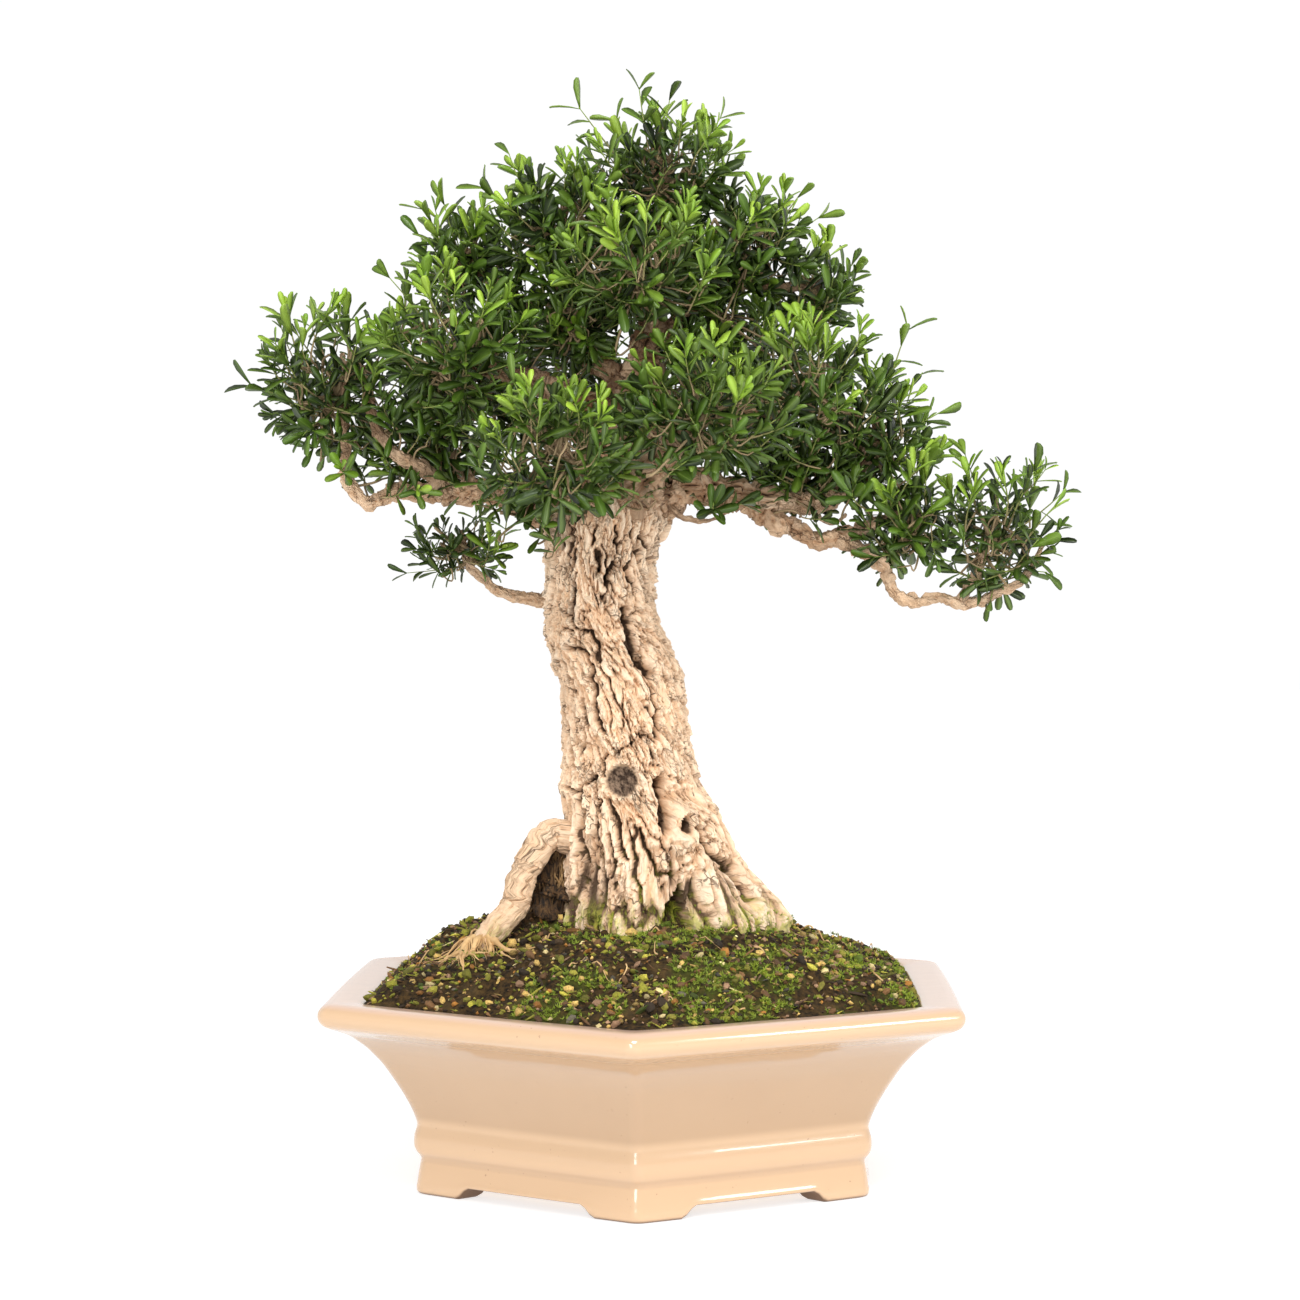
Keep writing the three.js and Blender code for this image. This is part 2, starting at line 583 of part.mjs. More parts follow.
function makeShoot(spray, outward, seed) {
  const [x, y, z, across, deep, high] = spray;
  const centre = new THREE.Vector3(x, y, z);
  const skinPoint = centre.clone().add(outward.clone().multiply(new THREE.Vector3(across, deep, high)));
  const lifted = outward.clone().add(new THREE.Vector3(0, 0, 0.5)).normalize();
  const top = skinPoint.clone().addScaledVector(lifted, -0.55 * LEAF_LENGTH);
  const start = centre.clone().lerp(top, 0.3);
  const axis = top.clone().sub(start).normalize();
  const first = new THREE.Vector3().crossVectors(axis, new THREE.Vector3(0.3, 0.2, 1)).normalize();
  const second = new THREE.Vector3().crossVectors(axis, first);
  const turn = 90 * draw(seed, 1);
  const around = (angle) => first.clone().multiplyScalar(Math.cos(degrees(angle + turn)))
    .addScaledVector(second, Math.sin(degrees(angle + turn)));
  const points = STEM_RADII.flatMap((radius, ring) => {
    const middle = ring === 0 ? start : top.clone().addScaledVector(axis, (ring - PAIRS - 1) * PAIR_SPACING);
    return [0, 90, 180, 270].map((angle) => middle.clone().addScaledVector(around(angle), radius));
  });
  const faces = [0, 2, 1, 0, 3, 2];
  let leaves = 0;
  for (let ring = 0; ring <= PAIRS; ring++) {
    for (let side = 0; side < 4; side++) {
      const low = 4 * ring + side;
      const next = 4 * ring + ((side + 1) % 4);
      const quad = [low, next, next + 4, low + 4];
      const leafy = ring > 0 && side % 2 === ring % 2;
      const face = quad.map((corner) => points[corner]);
      const blade = leafy && clearBlade(spray, face, axis, seed + 7 * low, PAIRS - ring);
      if (blade) {
        faces.push(...bladeFaces(quad, points.length));
        points.push(blade.under, blade.right, blade.over, blade.left, blade.tip);
        leaves += 1;
      } else {
        faces.push(quad[0], quad[1], quad[2], quad[0], quad[2], quad[3]);
      }
    }
  }
  const last = 4 * (PAIRS + 1);
  const bud = points.push(top.clone().addScaledVector(axis, 2.5)) - 1;
  faces.push(last, last + 1, bud, last + 1, last + 2, bud, last + 2, last + 3, bud, last + 3, last, bud);
  const geometry = new THREE.BufferGeometry().setFromPoints(points);
  geometry.setIndex(faces);
  return leaves > 1 ? [solid(geometry)] : [];
}

// The first bend of a leaf, out of one face of the stem, that stays clear of the neighbours
function clearBlade(spray, face, axis, seed, fromTop) {
  const root = new THREE.Vector3();
  face.forEach((corner) => root.addScaledVector(corner, 1 / face.length));
  const edge = face[1].clone().sub(face[0]);
  const outward = edge.cross(axis).normalize();
  const open = 32 + 20 * fromTop + 10 * draw(seed, 2);
  const full = LEAF_LENGTH * (1 - 0.07 * fromTop) * (0.9 + 0.2 * draw(seed, 3));
  const blades = BENDS.map((bend) => {
    const angle = degrees(open + bend.open);
    const heading = axis.clone().multiplyScalar(Math.cos(angle)).addScaledVector(outward, Math.sin(angle));
    return makeBlade(root, heading, axis, full * bend.size);
  });
  return blades.find((blade) => Object.values(blade).every((point) => isOwn(spray, point, 0.8)));
}

// The faces of a leaf between one face of the stem and its own five points
function bladeFaces([lowLeft, lowRight, highRight, highLeft], under) {
  const [right, over, left, tip] = [under + 1, under + 2, under + 3, under + 4];
  return [
    lowLeft, lowRight, under, lowRight, right, under, lowRight, highRight, right, highRight, over, right,
    highRight, highLeft, over, highLeft, left, over, highLeft, lowLeft, left, lowLeft, under, left,
    under, right, tip, right, over, tip, over, left, tip, left, under, tip,
  ];
}

// Even headings over a sphere, turned by a spray's own amount
function spread(count, turn) {
  const golden = Math.PI * (3 - Math.sqrt(5));
  const headings = [];
  for (let index = 0; index < count; index++) {
    const z = 1 - (2 * index + 1) / count;
    const ring = Math.sqrt(1 - z * z);
    const angle = golden * index + turn;
    headings.push(new THREE.Vector3(ring * Math.cos(angle), ring * Math.sin(angle), z));
  }
  return headings;
}

const SHOOT_AREA = 5800;

function makeSpray(name, seed, treeHole) {
  const spray = sprays[name];
  const [x, y, z, across, deep, high] = spray;
  const area = 4 * Math.PI * Math.cbrt(across * deep * high) ** 2;
  const bodies = [makeCore(spray, seed)];
  spread(Math.round(area / SHOOT_AREA), seed).forEach((outward, index) => {
    const size = new THREE.Vector3(across, deep, high);
    const inSkin = outward.clone().multiply(size).multiplyScalar(0.72).add(new THREE.Vector3(x, y, z));
    if (isOwn(spray, inSkin, 2) && outward.z > -0.8) {
      bodies.push(...makeShoot(spray, outward, 31 * seed + index));
    }
  });
  const body = join(bodies).rotate([0, 0, TREE_TURN]).subtract(treeHole);
  return namedMesh(`foliage_${name}`, geometryOf(body), materials.leaf);
}

const treeHole = growTree(FIT_GAP + 0.1);
const bonsai = new THREE.Group();
bonsai.add(makePot(), ...makeScreens(), makeSoil(treeHole));
bonsai.add(namedMesh("tree", geometryOf(growTree()), materials.bark));
Object.keys(sprays).forEach((name, index) => {
  bonsai.add(makeSpray(name, index + 1, treeHole));
});

export default bonsai;
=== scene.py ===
"""A boxwood bonsai in its glazed hexagonal pot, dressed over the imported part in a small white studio.

Lengths are millimetres until a mesh is made. +Z is up, and the viewer stands towards -Y.
"""

from itertools import product

import bpy
import numpy as np
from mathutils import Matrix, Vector


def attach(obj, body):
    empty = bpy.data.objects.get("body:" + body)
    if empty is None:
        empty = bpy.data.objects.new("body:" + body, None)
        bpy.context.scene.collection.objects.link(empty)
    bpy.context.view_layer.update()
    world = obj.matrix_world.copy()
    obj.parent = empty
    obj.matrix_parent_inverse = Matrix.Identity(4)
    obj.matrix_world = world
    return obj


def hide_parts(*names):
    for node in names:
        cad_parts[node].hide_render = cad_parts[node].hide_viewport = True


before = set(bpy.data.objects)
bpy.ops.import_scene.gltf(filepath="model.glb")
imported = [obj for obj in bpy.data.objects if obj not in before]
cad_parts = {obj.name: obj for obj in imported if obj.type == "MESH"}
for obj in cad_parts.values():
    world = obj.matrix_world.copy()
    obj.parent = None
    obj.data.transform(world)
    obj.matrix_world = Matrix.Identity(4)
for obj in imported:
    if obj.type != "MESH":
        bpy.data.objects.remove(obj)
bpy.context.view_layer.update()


# The pot: a hexagonal bowl slip-cast in stoneware with six bracket feet, dipped in a glossy cream
# glaze. The glaze thins and pales along the lip and corners, pools a little darker in the grooves,
# and is wiped off the soles of the feet, where the fired clay shows. The colour also holds painted
# light and shade: the lip and the moulding are painted paler, the flared wall under the lip darker.

FOOT_CUT_HEIGHT = 7
FOOT_CUT_HALF = 46
POT_SPREAD = 1.009
CORNER_RADIUS = 9.0
DRAIN_PLACE, DRAIN_RADIUS = 52, 11
POT_CORNERS = np.radians(60 * np.arange(6) - 90)[:, None]
ARC_TURNS = np.radians(np.linspace(-30, 30, 7))
SIDE_SHARES = np.concatenate([[0.05, 0.11], np.linspace(0.16, 0.25, 5), [0.33, 0.42, 0.5]])
SIDE_SHARES = np.concatenate([SIDE_SHARES, 1 - SIDE_SHARES[-2::-1]])
# The profile as half width and height, from the floor's underside out, up and down the inside.
POT_OUTSIDE = [
    (20, 12), (60, 12), (100, 12), (110.4, 11.7), (112.2, 10), (112.5, 6), (112.5, 1.8), (113.3, 0.5),
    (115, 0), (125.2, 0), (127.4, 0.6), (128.4, 2.2), (128, 7), (127.2, 13), (126.4, 17.5),
    (126, 20), (126.7, 21.8), (128.2, 23.8), (129.6, 27), (129.9, 30.5), (129.5, 34.5), (128.5, 38),
    (128.2, 40.2), (128.9, 43), (130.7, 48), (134, 55), (137.8, 62), (142, 69), (146.9, 76.6),
    (151.4, 82), (154.9, 86), (159.4, 90), (164.3, 93.8), (169.8, 96.4), (174.5, 98.4), (178, 100.4),
    (179.9, 103.2), (180.4, 106), (179.7, 108.8), (177.6, 111.2), (174.5, 112.4), (169, 112.5),
    (163, 112), (158.5, 111.5), (156.3, 110.4), (154.6, 107.6), (152.6, 102), (146, 92), (135, 72),
    (124, 54), (119, 36), (115, 27), (110, 24.4), (100, 24), (60, 24), (20, 24),
]


class Wire:
    """One output of a shader node. Arithmetic with it, on either side, adds Math nodes."""

    def __init__(self, finish, socket):
        self.finish = finish
        self.socket = socket

    def maths(self, operation, *terms):
        return self.finish.add("ShaderNodeMath", {"operation": operation}, dict(enumerate(terms)))

    def __add__(self, other):
        return self.maths("ADD", self, other)

    def __sub__(self, other):
        return self.maths("SUBTRACT", self, other)

    def __mul__(self, other):
        return self.maths("MULTIPLY", self, other)

    def __rsub__(self, other):
        return self.maths("SUBTRACT", other, self)

    __radd__ = __add__
    __rmul__ = __mul__


class Finish:
    """A material being mixed. add() places one node: its settings first, then its sockets."""

    def __init__(self, name):
        self.material = bpy.data.materials.new(name)
        self.material.use_nodes = True
        self.nodes = self.material.node_tree.nodes
        self.nodes.clear()

    def add(self, kind, settings={}, sockets={}, output=0):
        node = self.nodes.new(kind)
        for setting, value in settings.items():
            setattr(node, setting, value)
        for socket, value in sockets.items():
            if isinstance(value, Wire):
                self.material.node_tree.links.new(value.socket, node.inputs[socket])
            else:
                node.inputs[socket].default_value = value
        return Wire(self, node.outputs[output]) if node.outputs else node

    def place(self):
        """Where a point is on the piece, in millimetres."""
        return self.vector("MULTIPLY", self.add("ShaderNodeTexCoord", output=3), (1000, 1000, 1000))

    def vector(self, operation, *terms):
        """Vector maths on as many vectors as the operation takes."""
        return self.add("ShaderNodeVectorMath", {"operation": operation}, dict(enumerate(terms)))

    def mark(self, name, output=2):
        """A value stored on the piece's points: as a number, or as a vector with output 1."""
        return self.add("ShaderNodeAttribute", {"attribute_name": name}, output=output)

    def noise(self, place, size, detail=2.0, roughness=0.5):
        """Cloudy noise from 0 to 1 with features of a given size in millimetres."""
        sockets = {"Vector": place, "Scale": 1 / size, "Detail": detail, "Roughness": roughness}
        return self.add("ShaderNodeTexNoise", {}, sockets)

    def band(self, value, low, high):
        """0 below one value and 1 above the other, with a smooth rise between them."""
        sockets = {"Value": value, "From Min": low, "From Max": high}
        return self.add("ShaderNodeMapRange", {"interpolation_type": "SMOOTHSTEP"}, sockets)

    def mix(self, share, first, second):
        """Two colours mixed by a share. A colour written out is given as it looks on a screen."""
        first, second = (paint(*own) if isinstance(own, tuple) else own for own in (first, second))
        return self.add("ShaderNodeMix", {"data_type": "RGBA"}, {0: share, 6: first, 7: second}, 2)

    def coats(self, colour, *layers):
        """A colour with further ones laid over it in turn, each by its own share."""
        for share, over in layers:
            colour = self.mix(share, colour, over)
        return colour

    def split(self, vector, axis):
        """One number of a vector."""
        return self.add("ShaderNodeSeparateXYZ", {}, {0: vector}, axis)

    def finished(self, relief=None, depth=0.0, **sockets):
        """The shader itself, with a bump of so many millimetres where a relief is given."""
        sockets = {name.replace("_", " "): value for name, value in sockets.items()}
        if relief:
            bump = {"Height": relief, "Distance": depth / 1000, "Strength": 1.0}
            sockets["Normal"] = self.add("ShaderNodeBump", {}, bump)
        shader = self.add("ShaderNodeBsdfPrincipled", {}, sockets)
        self.add("ShaderNodeOutputMaterial", {}, {"Surface": shader})
        return self.material


def paint(red, green, blue):
    """A colour as it looks on a screen, from 0 to 1 each, as the light that it reflects."""
    return tuple(((part + 0.055) / 1.055) ** 2.4 for part in (red, green, blue)) + (1.0,)


def smooth(value, low, high):
    """0 below low and 1 above high, with the rise 3 t^2 - 2 t^3 between; high may be the lower."""
    share = np.clip((value - low) / (high - low), 0, 1)
    return share * share * (3 - 2 * share)


def xyz(*parts):
    """Numbers or arrays of them side by side: x, y and z, or a direction's share of each."""
    return np.stack(np.broadcast_arrays(*parts), axis=-1)


def polar(heading, distance, *height):
    """Places at a heading and a distance: the distance times its cosine and its sine."""
    return xyz(distance * np.cos(heading), distance * np.sin(heading), *height)


def all_round(count):
    """So many headings, evenly spaced over a full turn."""
    return np.linspace(0, 2 * np.pi, count, endpoint=False)


def curve_through(knots, values, at):
    """Values at places between knots: on each span a cubic that meets both knots with the slopes
    there, which are those of the line between the neighbouring knots."""
    knots = np.asarray(knots, float)
    values = np.asarray(values, float)
    slopes = np.gradient(values, knots, axis=0)
    span = np.clip(np.searchsorted(knots, at) - 1, 0, len(knots) - 2)
    width = knots[span + 1] - knots[span]
    t = (at - knots[span]) / width
    if values.ndim > 1:
        width, t = width[..., None], t[..., None]
    rise = t * t * (3 - 2 * t)
    bend = slopes[span] * t * (1 - t) ** 2 - slopes[span + 1] * t * t * (1 - t)
    return values[span] * (1 - rise) + values[span + 1] * rise + width * bend


def line_length(points):
    """The way along a line of points up to each of them: the running sum of its steps."""
    steps = np.linalg.norm(np.diff(points, axis=0), axis=1)
    return np.concatenate([[0], np.cumsum(steps)])


def skin(rings):
    """Points and faces of closed shells, from an array of shells, rings, points round and x, y, z.
    Rings run anticlockwise round the way ahead, and a fan of triangles closes each end."""
    shells, rows, columns = rings.shape[:3]
    row, column = np.meshgrid(np.arange(rows - 1), np.arange(columns), indexing="ij")
    ahead = (column + 1) % columns
    low, high = row * columns, (row + 1) * columns
    quads = xyz(low + column, low + ahead, high + ahead, high + column)
    step = np.arange(1, columns - 1)
    back = xyz(0, step + 1, step)
    front = xyz(0, step, step + 1) + (rows - 1) * columns
    first = (np.arange(shells) * rows * columns)[:, None, None]
    faces = [first + quads.reshape(1, -1, 4), first + np.concatenate([back, front])[None]]
    return rings.reshape(-1, 3), [part.reshape(-1, part.shape[-1]) for part in faces]


def piece(name, points, faces, finish, soft=True, **marks):
    """A mesh object of those points and faces that stands with the part. Marks are values for the
    finish, one number or one vector a point. Soft shades it as one smooth surface."""
    mesh = bpy.data.meshes.new(name)
    sizes = np.concatenate([np.full(len(part), part.shape[1]) for part in faces])
    corners = np.concatenate([part.ravel() for part in faces])
    mesh.vertices.add(len(points))
    mesh.vertices.foreach_set("co", (points / 1000).astype(np.float32).ravel())
    mesh.loops.add(len(corners))
    mesh.loops.foreach_set("vertex_index", corners.astype(np.int32))
    mesh.polygons.add(len(sizes))
    mesh.polygons.foreach_set("loop_start", (np.cumsum(sizes) - sizes).astype(np.int32))
    mesh.polygons.foreach_set("use_smooth", np.full(len(sizes), soft))
    for mark, values in marks.items():
        kind, field = ("FLOAT", "value") if values.ndim == 1 else ("FLOAT_VECTOR", "vector")
        stored = mesh.attributes.new(mark, kind, "POINT")
        stored.data.foreach_set(field, values.astype(np.float32).ravel())
    mesh.update(calc_edges=True)
    mesh.materials.append(finish)
    made = bpy.data.objects.new(name, mesh)
    bpy.context.scene.collection.objects.link(made)
    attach(made, "root")
    return made


def hexagon(half_width, radius, bow=1.2):
    """Points round a hexagon with a corner towards the viewer. Each corner is an arc, and each side
    bows out by 1 - share^2 of its half length."""
    reach = (half_width - radius) / np.cos(np.pi / 6)
    arc = POT_CORNERS + ARC_TURNS
    corners = polar(POT_CORNERS, reach) + polar(arc, radius)
    start, end = corners[:, -1:], np.roll(corners[:, :1], -1, axis=0)
    share = SIDE_SHARES[:, None]
    out = polar(POT_CORNERS + np.pi / 6, 1)
    sides = start + (end - start) * share + out * bow * (1 - (2 * share - 1) ** 2)
    return np.concatenate([corners, sides], axis=1).reshape(-1, 2)


def hex_marks(on_corners, on_sides):
    """A value for each point of a hexagon: one list for every arc and one for every side."""
    return np.tile(np.concatenate([on_corners, on_sides]), 6)


profile = np.array(POT_OUTSIDE, float)
ways = line_length(profile)
rows = np.sort(np.concatenate([ways, (ways[:-1] + ways[1:])[3:48] / 2]))
profile = curve_through(ways, profile, rows)
profile = np.column_stack([profile[:, 0] * POT_SPREAD, np.maximum(profile[:, 1], 0)])
from_middle = hex_marks(np.full(len(ARC_TURNS), 99.0), np.abs(2 * SIDE_SHARES - 1) * 68)
foot_cut = FOOT_CUT_HEIGHT * smooth(from_middle, FOOT_CUT_HALF, FOOT_CUT_HALF - 9)
rings = []
for half_width, height in profile:
    ring = hexagon(half_width, min(CORNER_RADIUS, 0.6 * half_width))
    lifted = height + foot_cut * np.clip(1 - height / 12, 0, 1)
    rings.append(np.column_stack([ring, lifted]))
rings = np.array(rings)
at_corner = hex_marks(np.cos(3 * ARC_TURNS), 0 * SIDE_SHARES)
outside = smooth(profile[:, 0], 124, 128) * smooth(profile[:, 1], 20, 26)
thin = np.maximum(outside[:, None] * at_corner[None] * 0.08,
                  smooth(profile[:, 1], 109.5, 112.3)[:, None] * np.ones(len(at_corner)))

glaze = Finish("cream_glaze")
spot = glaze.place()
height = glaze.split(spot, 2)
cloud = glaze.noise(spot, 55, 3)
groove = glaze.band(height, 24, 21.5) * glaze.band(height, 17.5, 20)
# Painted light and shade: ends paints the lip and the moulding and feet paler, and the band under the
# lip paints the flared wall darker. The darker grooves are the glaze's own pooling.
painted_shade_under_lip = glaze.band(height, 80, 94) * glaze.band(height, 101, 96)
ends = glaze.band(height, 46, 40) + glaze.band(height, 95, 103)
thin_glaze, bare = glaze.mark("thin"), glaze.mark("sole")
speckle = glaze.band(glaze.noise(spot, 1.6, 0), 0.80, 0.86)
speckle = speckle * glaze.band(glaze.noise(spot, 21, 1), 0.5, 0.6)
cream = glaze.coats(
    glaze.mix(cloud, (0.69, 0.56, 0.42), (0.72, 0.59, 0.45)), (ends, (0.80, 0.665, 0.52)),
    (groove * 0.45 + painted_shade_under_lip * 0.35, (0.70, 0.57, 0.44)), (thin_glaze * 0.9, (0.85, 0.725, 0.645)),
    (speckle * 0.5, (0.55, 0.40, 0.28)), (bare, (0.42, 0.31, 0.22)))
pot = piece("glazed_pot", *skin(rings[None]), glaze.finished(
    Base_Color=cream, Roughness=0.2 + 0.5 * bare, Coat_Weight=(1 - bare) * (1 - 0.75 * thin_glaze),
    Coat_Roughness=0.03, Coat_IOR=1.5, Specular_IOR_Level=0.5,
    relief=glaze.noise(spot, 34, 2) + 0.0015 * glaze.noise(spot, 3, 1), depth=0.4),
    thin=thin.ravel(), sole=np.repeat(smooth(profile[:, 1], 2.0, 0.6), len(at_corner)))

drain_rings = np.array([[np.column_stack([
    polar(angle, DRAIN_PLACE) + polar(all_round(32), DRAIN_RADIUS), np.full(32, level)])
    for level in (5.0, 30.0)] for angle in np.radians([90, 210, 330])])
drills = piece("drills", *skin(drain_rings), glaze.material)
cut = pot.modifiers.new("drain_holes", "BOOLEAN")
cut.object, cut.operation, cut.solver = drills, "DIFFERENCE", "EXACT"
bpy.context.view_layer.update()
drilled = bpy.data.meshes.new_from_object(pot.evaluated_get(bpy.context.evaluated_depsgraph_get()))
pot.modifiers.clear()
pot.data = drilled
bpy.data.objects.remove(drills)
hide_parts("pot")


# The drain screens: squares of grey plastic mesh over the three holes in the pot's floor. They
# lie under the soil and show only from below.

mesh_plastic = Finish("grey_mesh_plastic")
spot = mesh_plastic.place()
scuffed = mesh_plastic.noise(spot, 3, 3)
screen_finish = mesh_plastic.finished(
    Base_Color=mesh_plastic.mix(scuffed, (0.15, 0.15, 0.17), (0.26, 0.25, 0.24)),
    Roughness=0.45 + 0.3 * scuffed, relief=scuffed, depth=0.2)
for number in (1, 2, 3):
    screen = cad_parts[f"drain_screen_{number}"]
    screen.data.materials.clear()
    screen.data.materials.append(screen_finish)


# The soil: a mound of dark potting mix, watered and crumbled, that fills the pot to just under its
# lip and climbs to the foot of the trunk.

SOIL_EDGE = 111.3
SOIL_CROWN = 153
SOIL_HALF_WIDTH = 158


def lattice(cell, seed):
    """A number from 0 to 1 that is always the same for one whole-numbered cell: its coordinates
    times three primes, their bits mixed by shifts and a product."""
    x, y, z = (cell[..., axis].astype(np.int64) for axis in range(3))
    mixed = (x * 73856093) ^ (y * 19349663) ^ (z * 83492791) ^ (seed * 40503)
    mixed = ((mixed ^ (mixed >> 13)) & 0xFFFFFFFF) * 1274126177 & 0xFFFFFFFF
    return ((mixed ^ (mixed >> 15)) & 0xFFFFFF) / 0xFFFFFF


def ripple(points, seed=0):
    """Noise from -1 to 1: the numbers of the eight cells round a point, blended by 3 t^2 - 2 t^3."""
    cell = np.floor(points)
    share = smooth(points - cell, 0, 1)
    total = 0
    for corner in product((0, 1), repeat=3):
        weight = np.prod(np.where(corner, share, 1 - share), axis=-1)
        total = total + weight * lattice(cell + np.array(corner), seed)
    return 2 * total - 1


def rough(points, octaves, seed=0):
    """Ripples added up, each twice as fine and half as high as the one before."""
    return sum(ripple(points * 2**octave, seed + octave) / 2**octave for octave in range(octaves))


def soil_share(x, y):
    """How far out a place lies, from 0 at the axis to 1 at the pot: level lines are hexagons at the
    edge and circles inside, found by a few rounds of correction."""
    out = np.hypot(x, y)
    off = np.mod(np.arctan2(y, x) + np.pi / 6, np.pi / 3) - np.pi / 6
    edge = np.minimum(SOIL_HALF_WIDTH / np.cos(off), SOIL_HALF_WIDTH / np.cos(np.pi / 6) - 1.4)
    share = out / edge
    for _ in range(8):
        blend = smooth(share, 0.55, 1)
        share = out / (SOIL_HALF_WIDTH * (1 - blend) + edge * blend)
    return share


def soil_height(x, y):
    """The mound, fuller to the left and under the arched root, with clods about 25 mm across and
    crumbs of 5 to 9 mm on it."""
    share = np.minimum(soil_share(x, y), 1)
    mound = SOIL_EDGE + (SOIL_CROWN - SOIL_EDGE) * (1 - share**2.6) ** 1.15
    mound = mound + 10 * np.exp(-(((x + 112) / 32) ** 2) - ((y - 8) / 45) ** 2)
    mound = mound + 12 * np.exp(-(((x + 60) / 17) ** 2) - ((y + 4) / 22) ** 2)
    spot = xyz(x, y, 0)
    lumps = 3.4 * rough(spot / 25, 3, 3) + 2.6 * np.abs(rough(spot / 7.5, 3, 9))
    return mound + lumps * smooth(share, 1.0, 0.93) - 1.0


def moss_share(x, y):
    """Where moss grows, from 0 to 1: patches by noise, more of them to the right and the front."""
    spot = xyz(x, y, 0)
    patches = 0.8 * ripple(spot / 31, 21) + 0.75 * ripple(spot / 12, 22) + 0.4 * ripple(spot / 5, 23)
    side = 0.0042 * x - 0.0034 * y
    return smooth(patches + side, 0.3, 0.75)


edge_ring = hexagon(SOIL_HALF_WIDTH, CORNER_RADIUS, 0.4)
edge_ring = np.vstack([edge_ring, edge_ring[:1]])
ways = line_length(edge_ring)
steps = np.linspace(0, ways[-1], 340, endpoint=False)
edge_ring = np.column_stack([np.interp(steps, ways, edge_ring[:, axis]) for axis in (0, 1)])
edge_out = np.hypot(edge_ring[:, 0], edge_ring[:, 1])
walls = [(8, 26.8), (70, 26.8), (112, 27), (118, 36), (123.2, 54), (134, 72), (145, 92), (153, 104)]
rings = [np.column_stack([edge_ring * half / SOIL_HALF_WIDTH, np.full(len(edge_ring), level)])
         for half, level in walls]
for share in np.concatenate([np.linspace(1, 0.3, 62), np.linspace(0.28, 0.02, 6)]):
    blend = smooth(share, 0.55, 1)
    flat = edge_ring * share * (SOIL_HALF_WIDTH * (1 - blend) / edge_out + blend)[:, None]
    rings.append(np.column_stack([flat, soil_height(flat[:, 0], flat[:, 1])]))
rings = np.array(rings)
points, faces = skin(rings[None])

earth = Finish("dark_potting_soil")
spot = earth.place()
crumb = earth.noise(spot, 3.2, 4, 0.62)
turf = earth.mix(earth.noise(spot, 3, 3), (0.10, 0.12, 0.03), (0.33, 0.37, 0.09))
dirt = earth.coats(
    earth.mix(earth.band(crumb, 0.3, 0.7), (0.06, 0.043, 0.018), (0.29, 0.215, 0.105)),
    (earth.band(earth.noise(spot, 24, 3), 0.5, 0.7) * 0.4, (0.36, 0.29, 0.17)),
    (earth.mark("mossy") * 0.6, turf))
soil = piece("mounded_soil", points, faces, earth.finished(
    Base_Color=dirt, Roughness=0.93, Specular_IOR_Level=0.25, relief=crumb, depth=1.6),
    mossy=moss_share(points[:, 0], points[:, 1]) * smooth(points[:, 2], 104, 109))
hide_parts("soil")


# The grit: grains of pumice, baked clay, lava and bark that were mixed into the soil and washed
# out on top, from 2 to 8 mm across, with a few longer splinters, each sunk by a third.

GRAIN_COLOURS = np.array([
    (0.44, 0.43, 0.14), (0.60, 0.57, 0.22), (0.70, 0.58, 0.33), (0.82, 0.74, 0.52), (0.56, 0.38, 0.17),
    (0.40, 0.29, 0.18), (0.55, 0.43, 0.33), (0.20, 0.15, 0.09), (0.33, 0.31, 0.26), (0.31, 0.37, 0.10)])
GRAIN_SHARES = [0.16, 0.12, 0.10, 0.05, 0.05, 0.17, 0.08, 0.17, 0.03, 0.07]


def strewn(count, seed):
    """Seeded random places on the mound, evenly spread over its area."""
    chance = np.random.default_rng(seed)
    spots = chance.uniform(-176, 176, (count * 3, 2))
    return spots[soil_share(*spots.T) < 0.99][:count], chance


def stone_shape(corners, near):
    """Corners drawn to length one, with a triangle on every three that lie closer than near."""
    close = np.linalg.norm(corners[:, None] - corners[None], axis=-1) < near
    faces = [(a, b, c) for a in range(len(corners)) for b in range(a) for c in range(b)
             if close[a, b] and close[b, c] and close[a, c]]
    faces = [face if np.linalg.det(corners[list(face)]) > 0 else face[::-1] for face in faces]
    return corners / np.linalg.norm(corners, axis=1, keepdims=True), np.array(faces)


def spun(x, y, angle):
    """x and y turned about an upright axis, by the angle's cosine and sine."""
    return x * np.cos(angle) - y * np.sin(angle), x * np.sin(angle) + y * np.cos(angle)


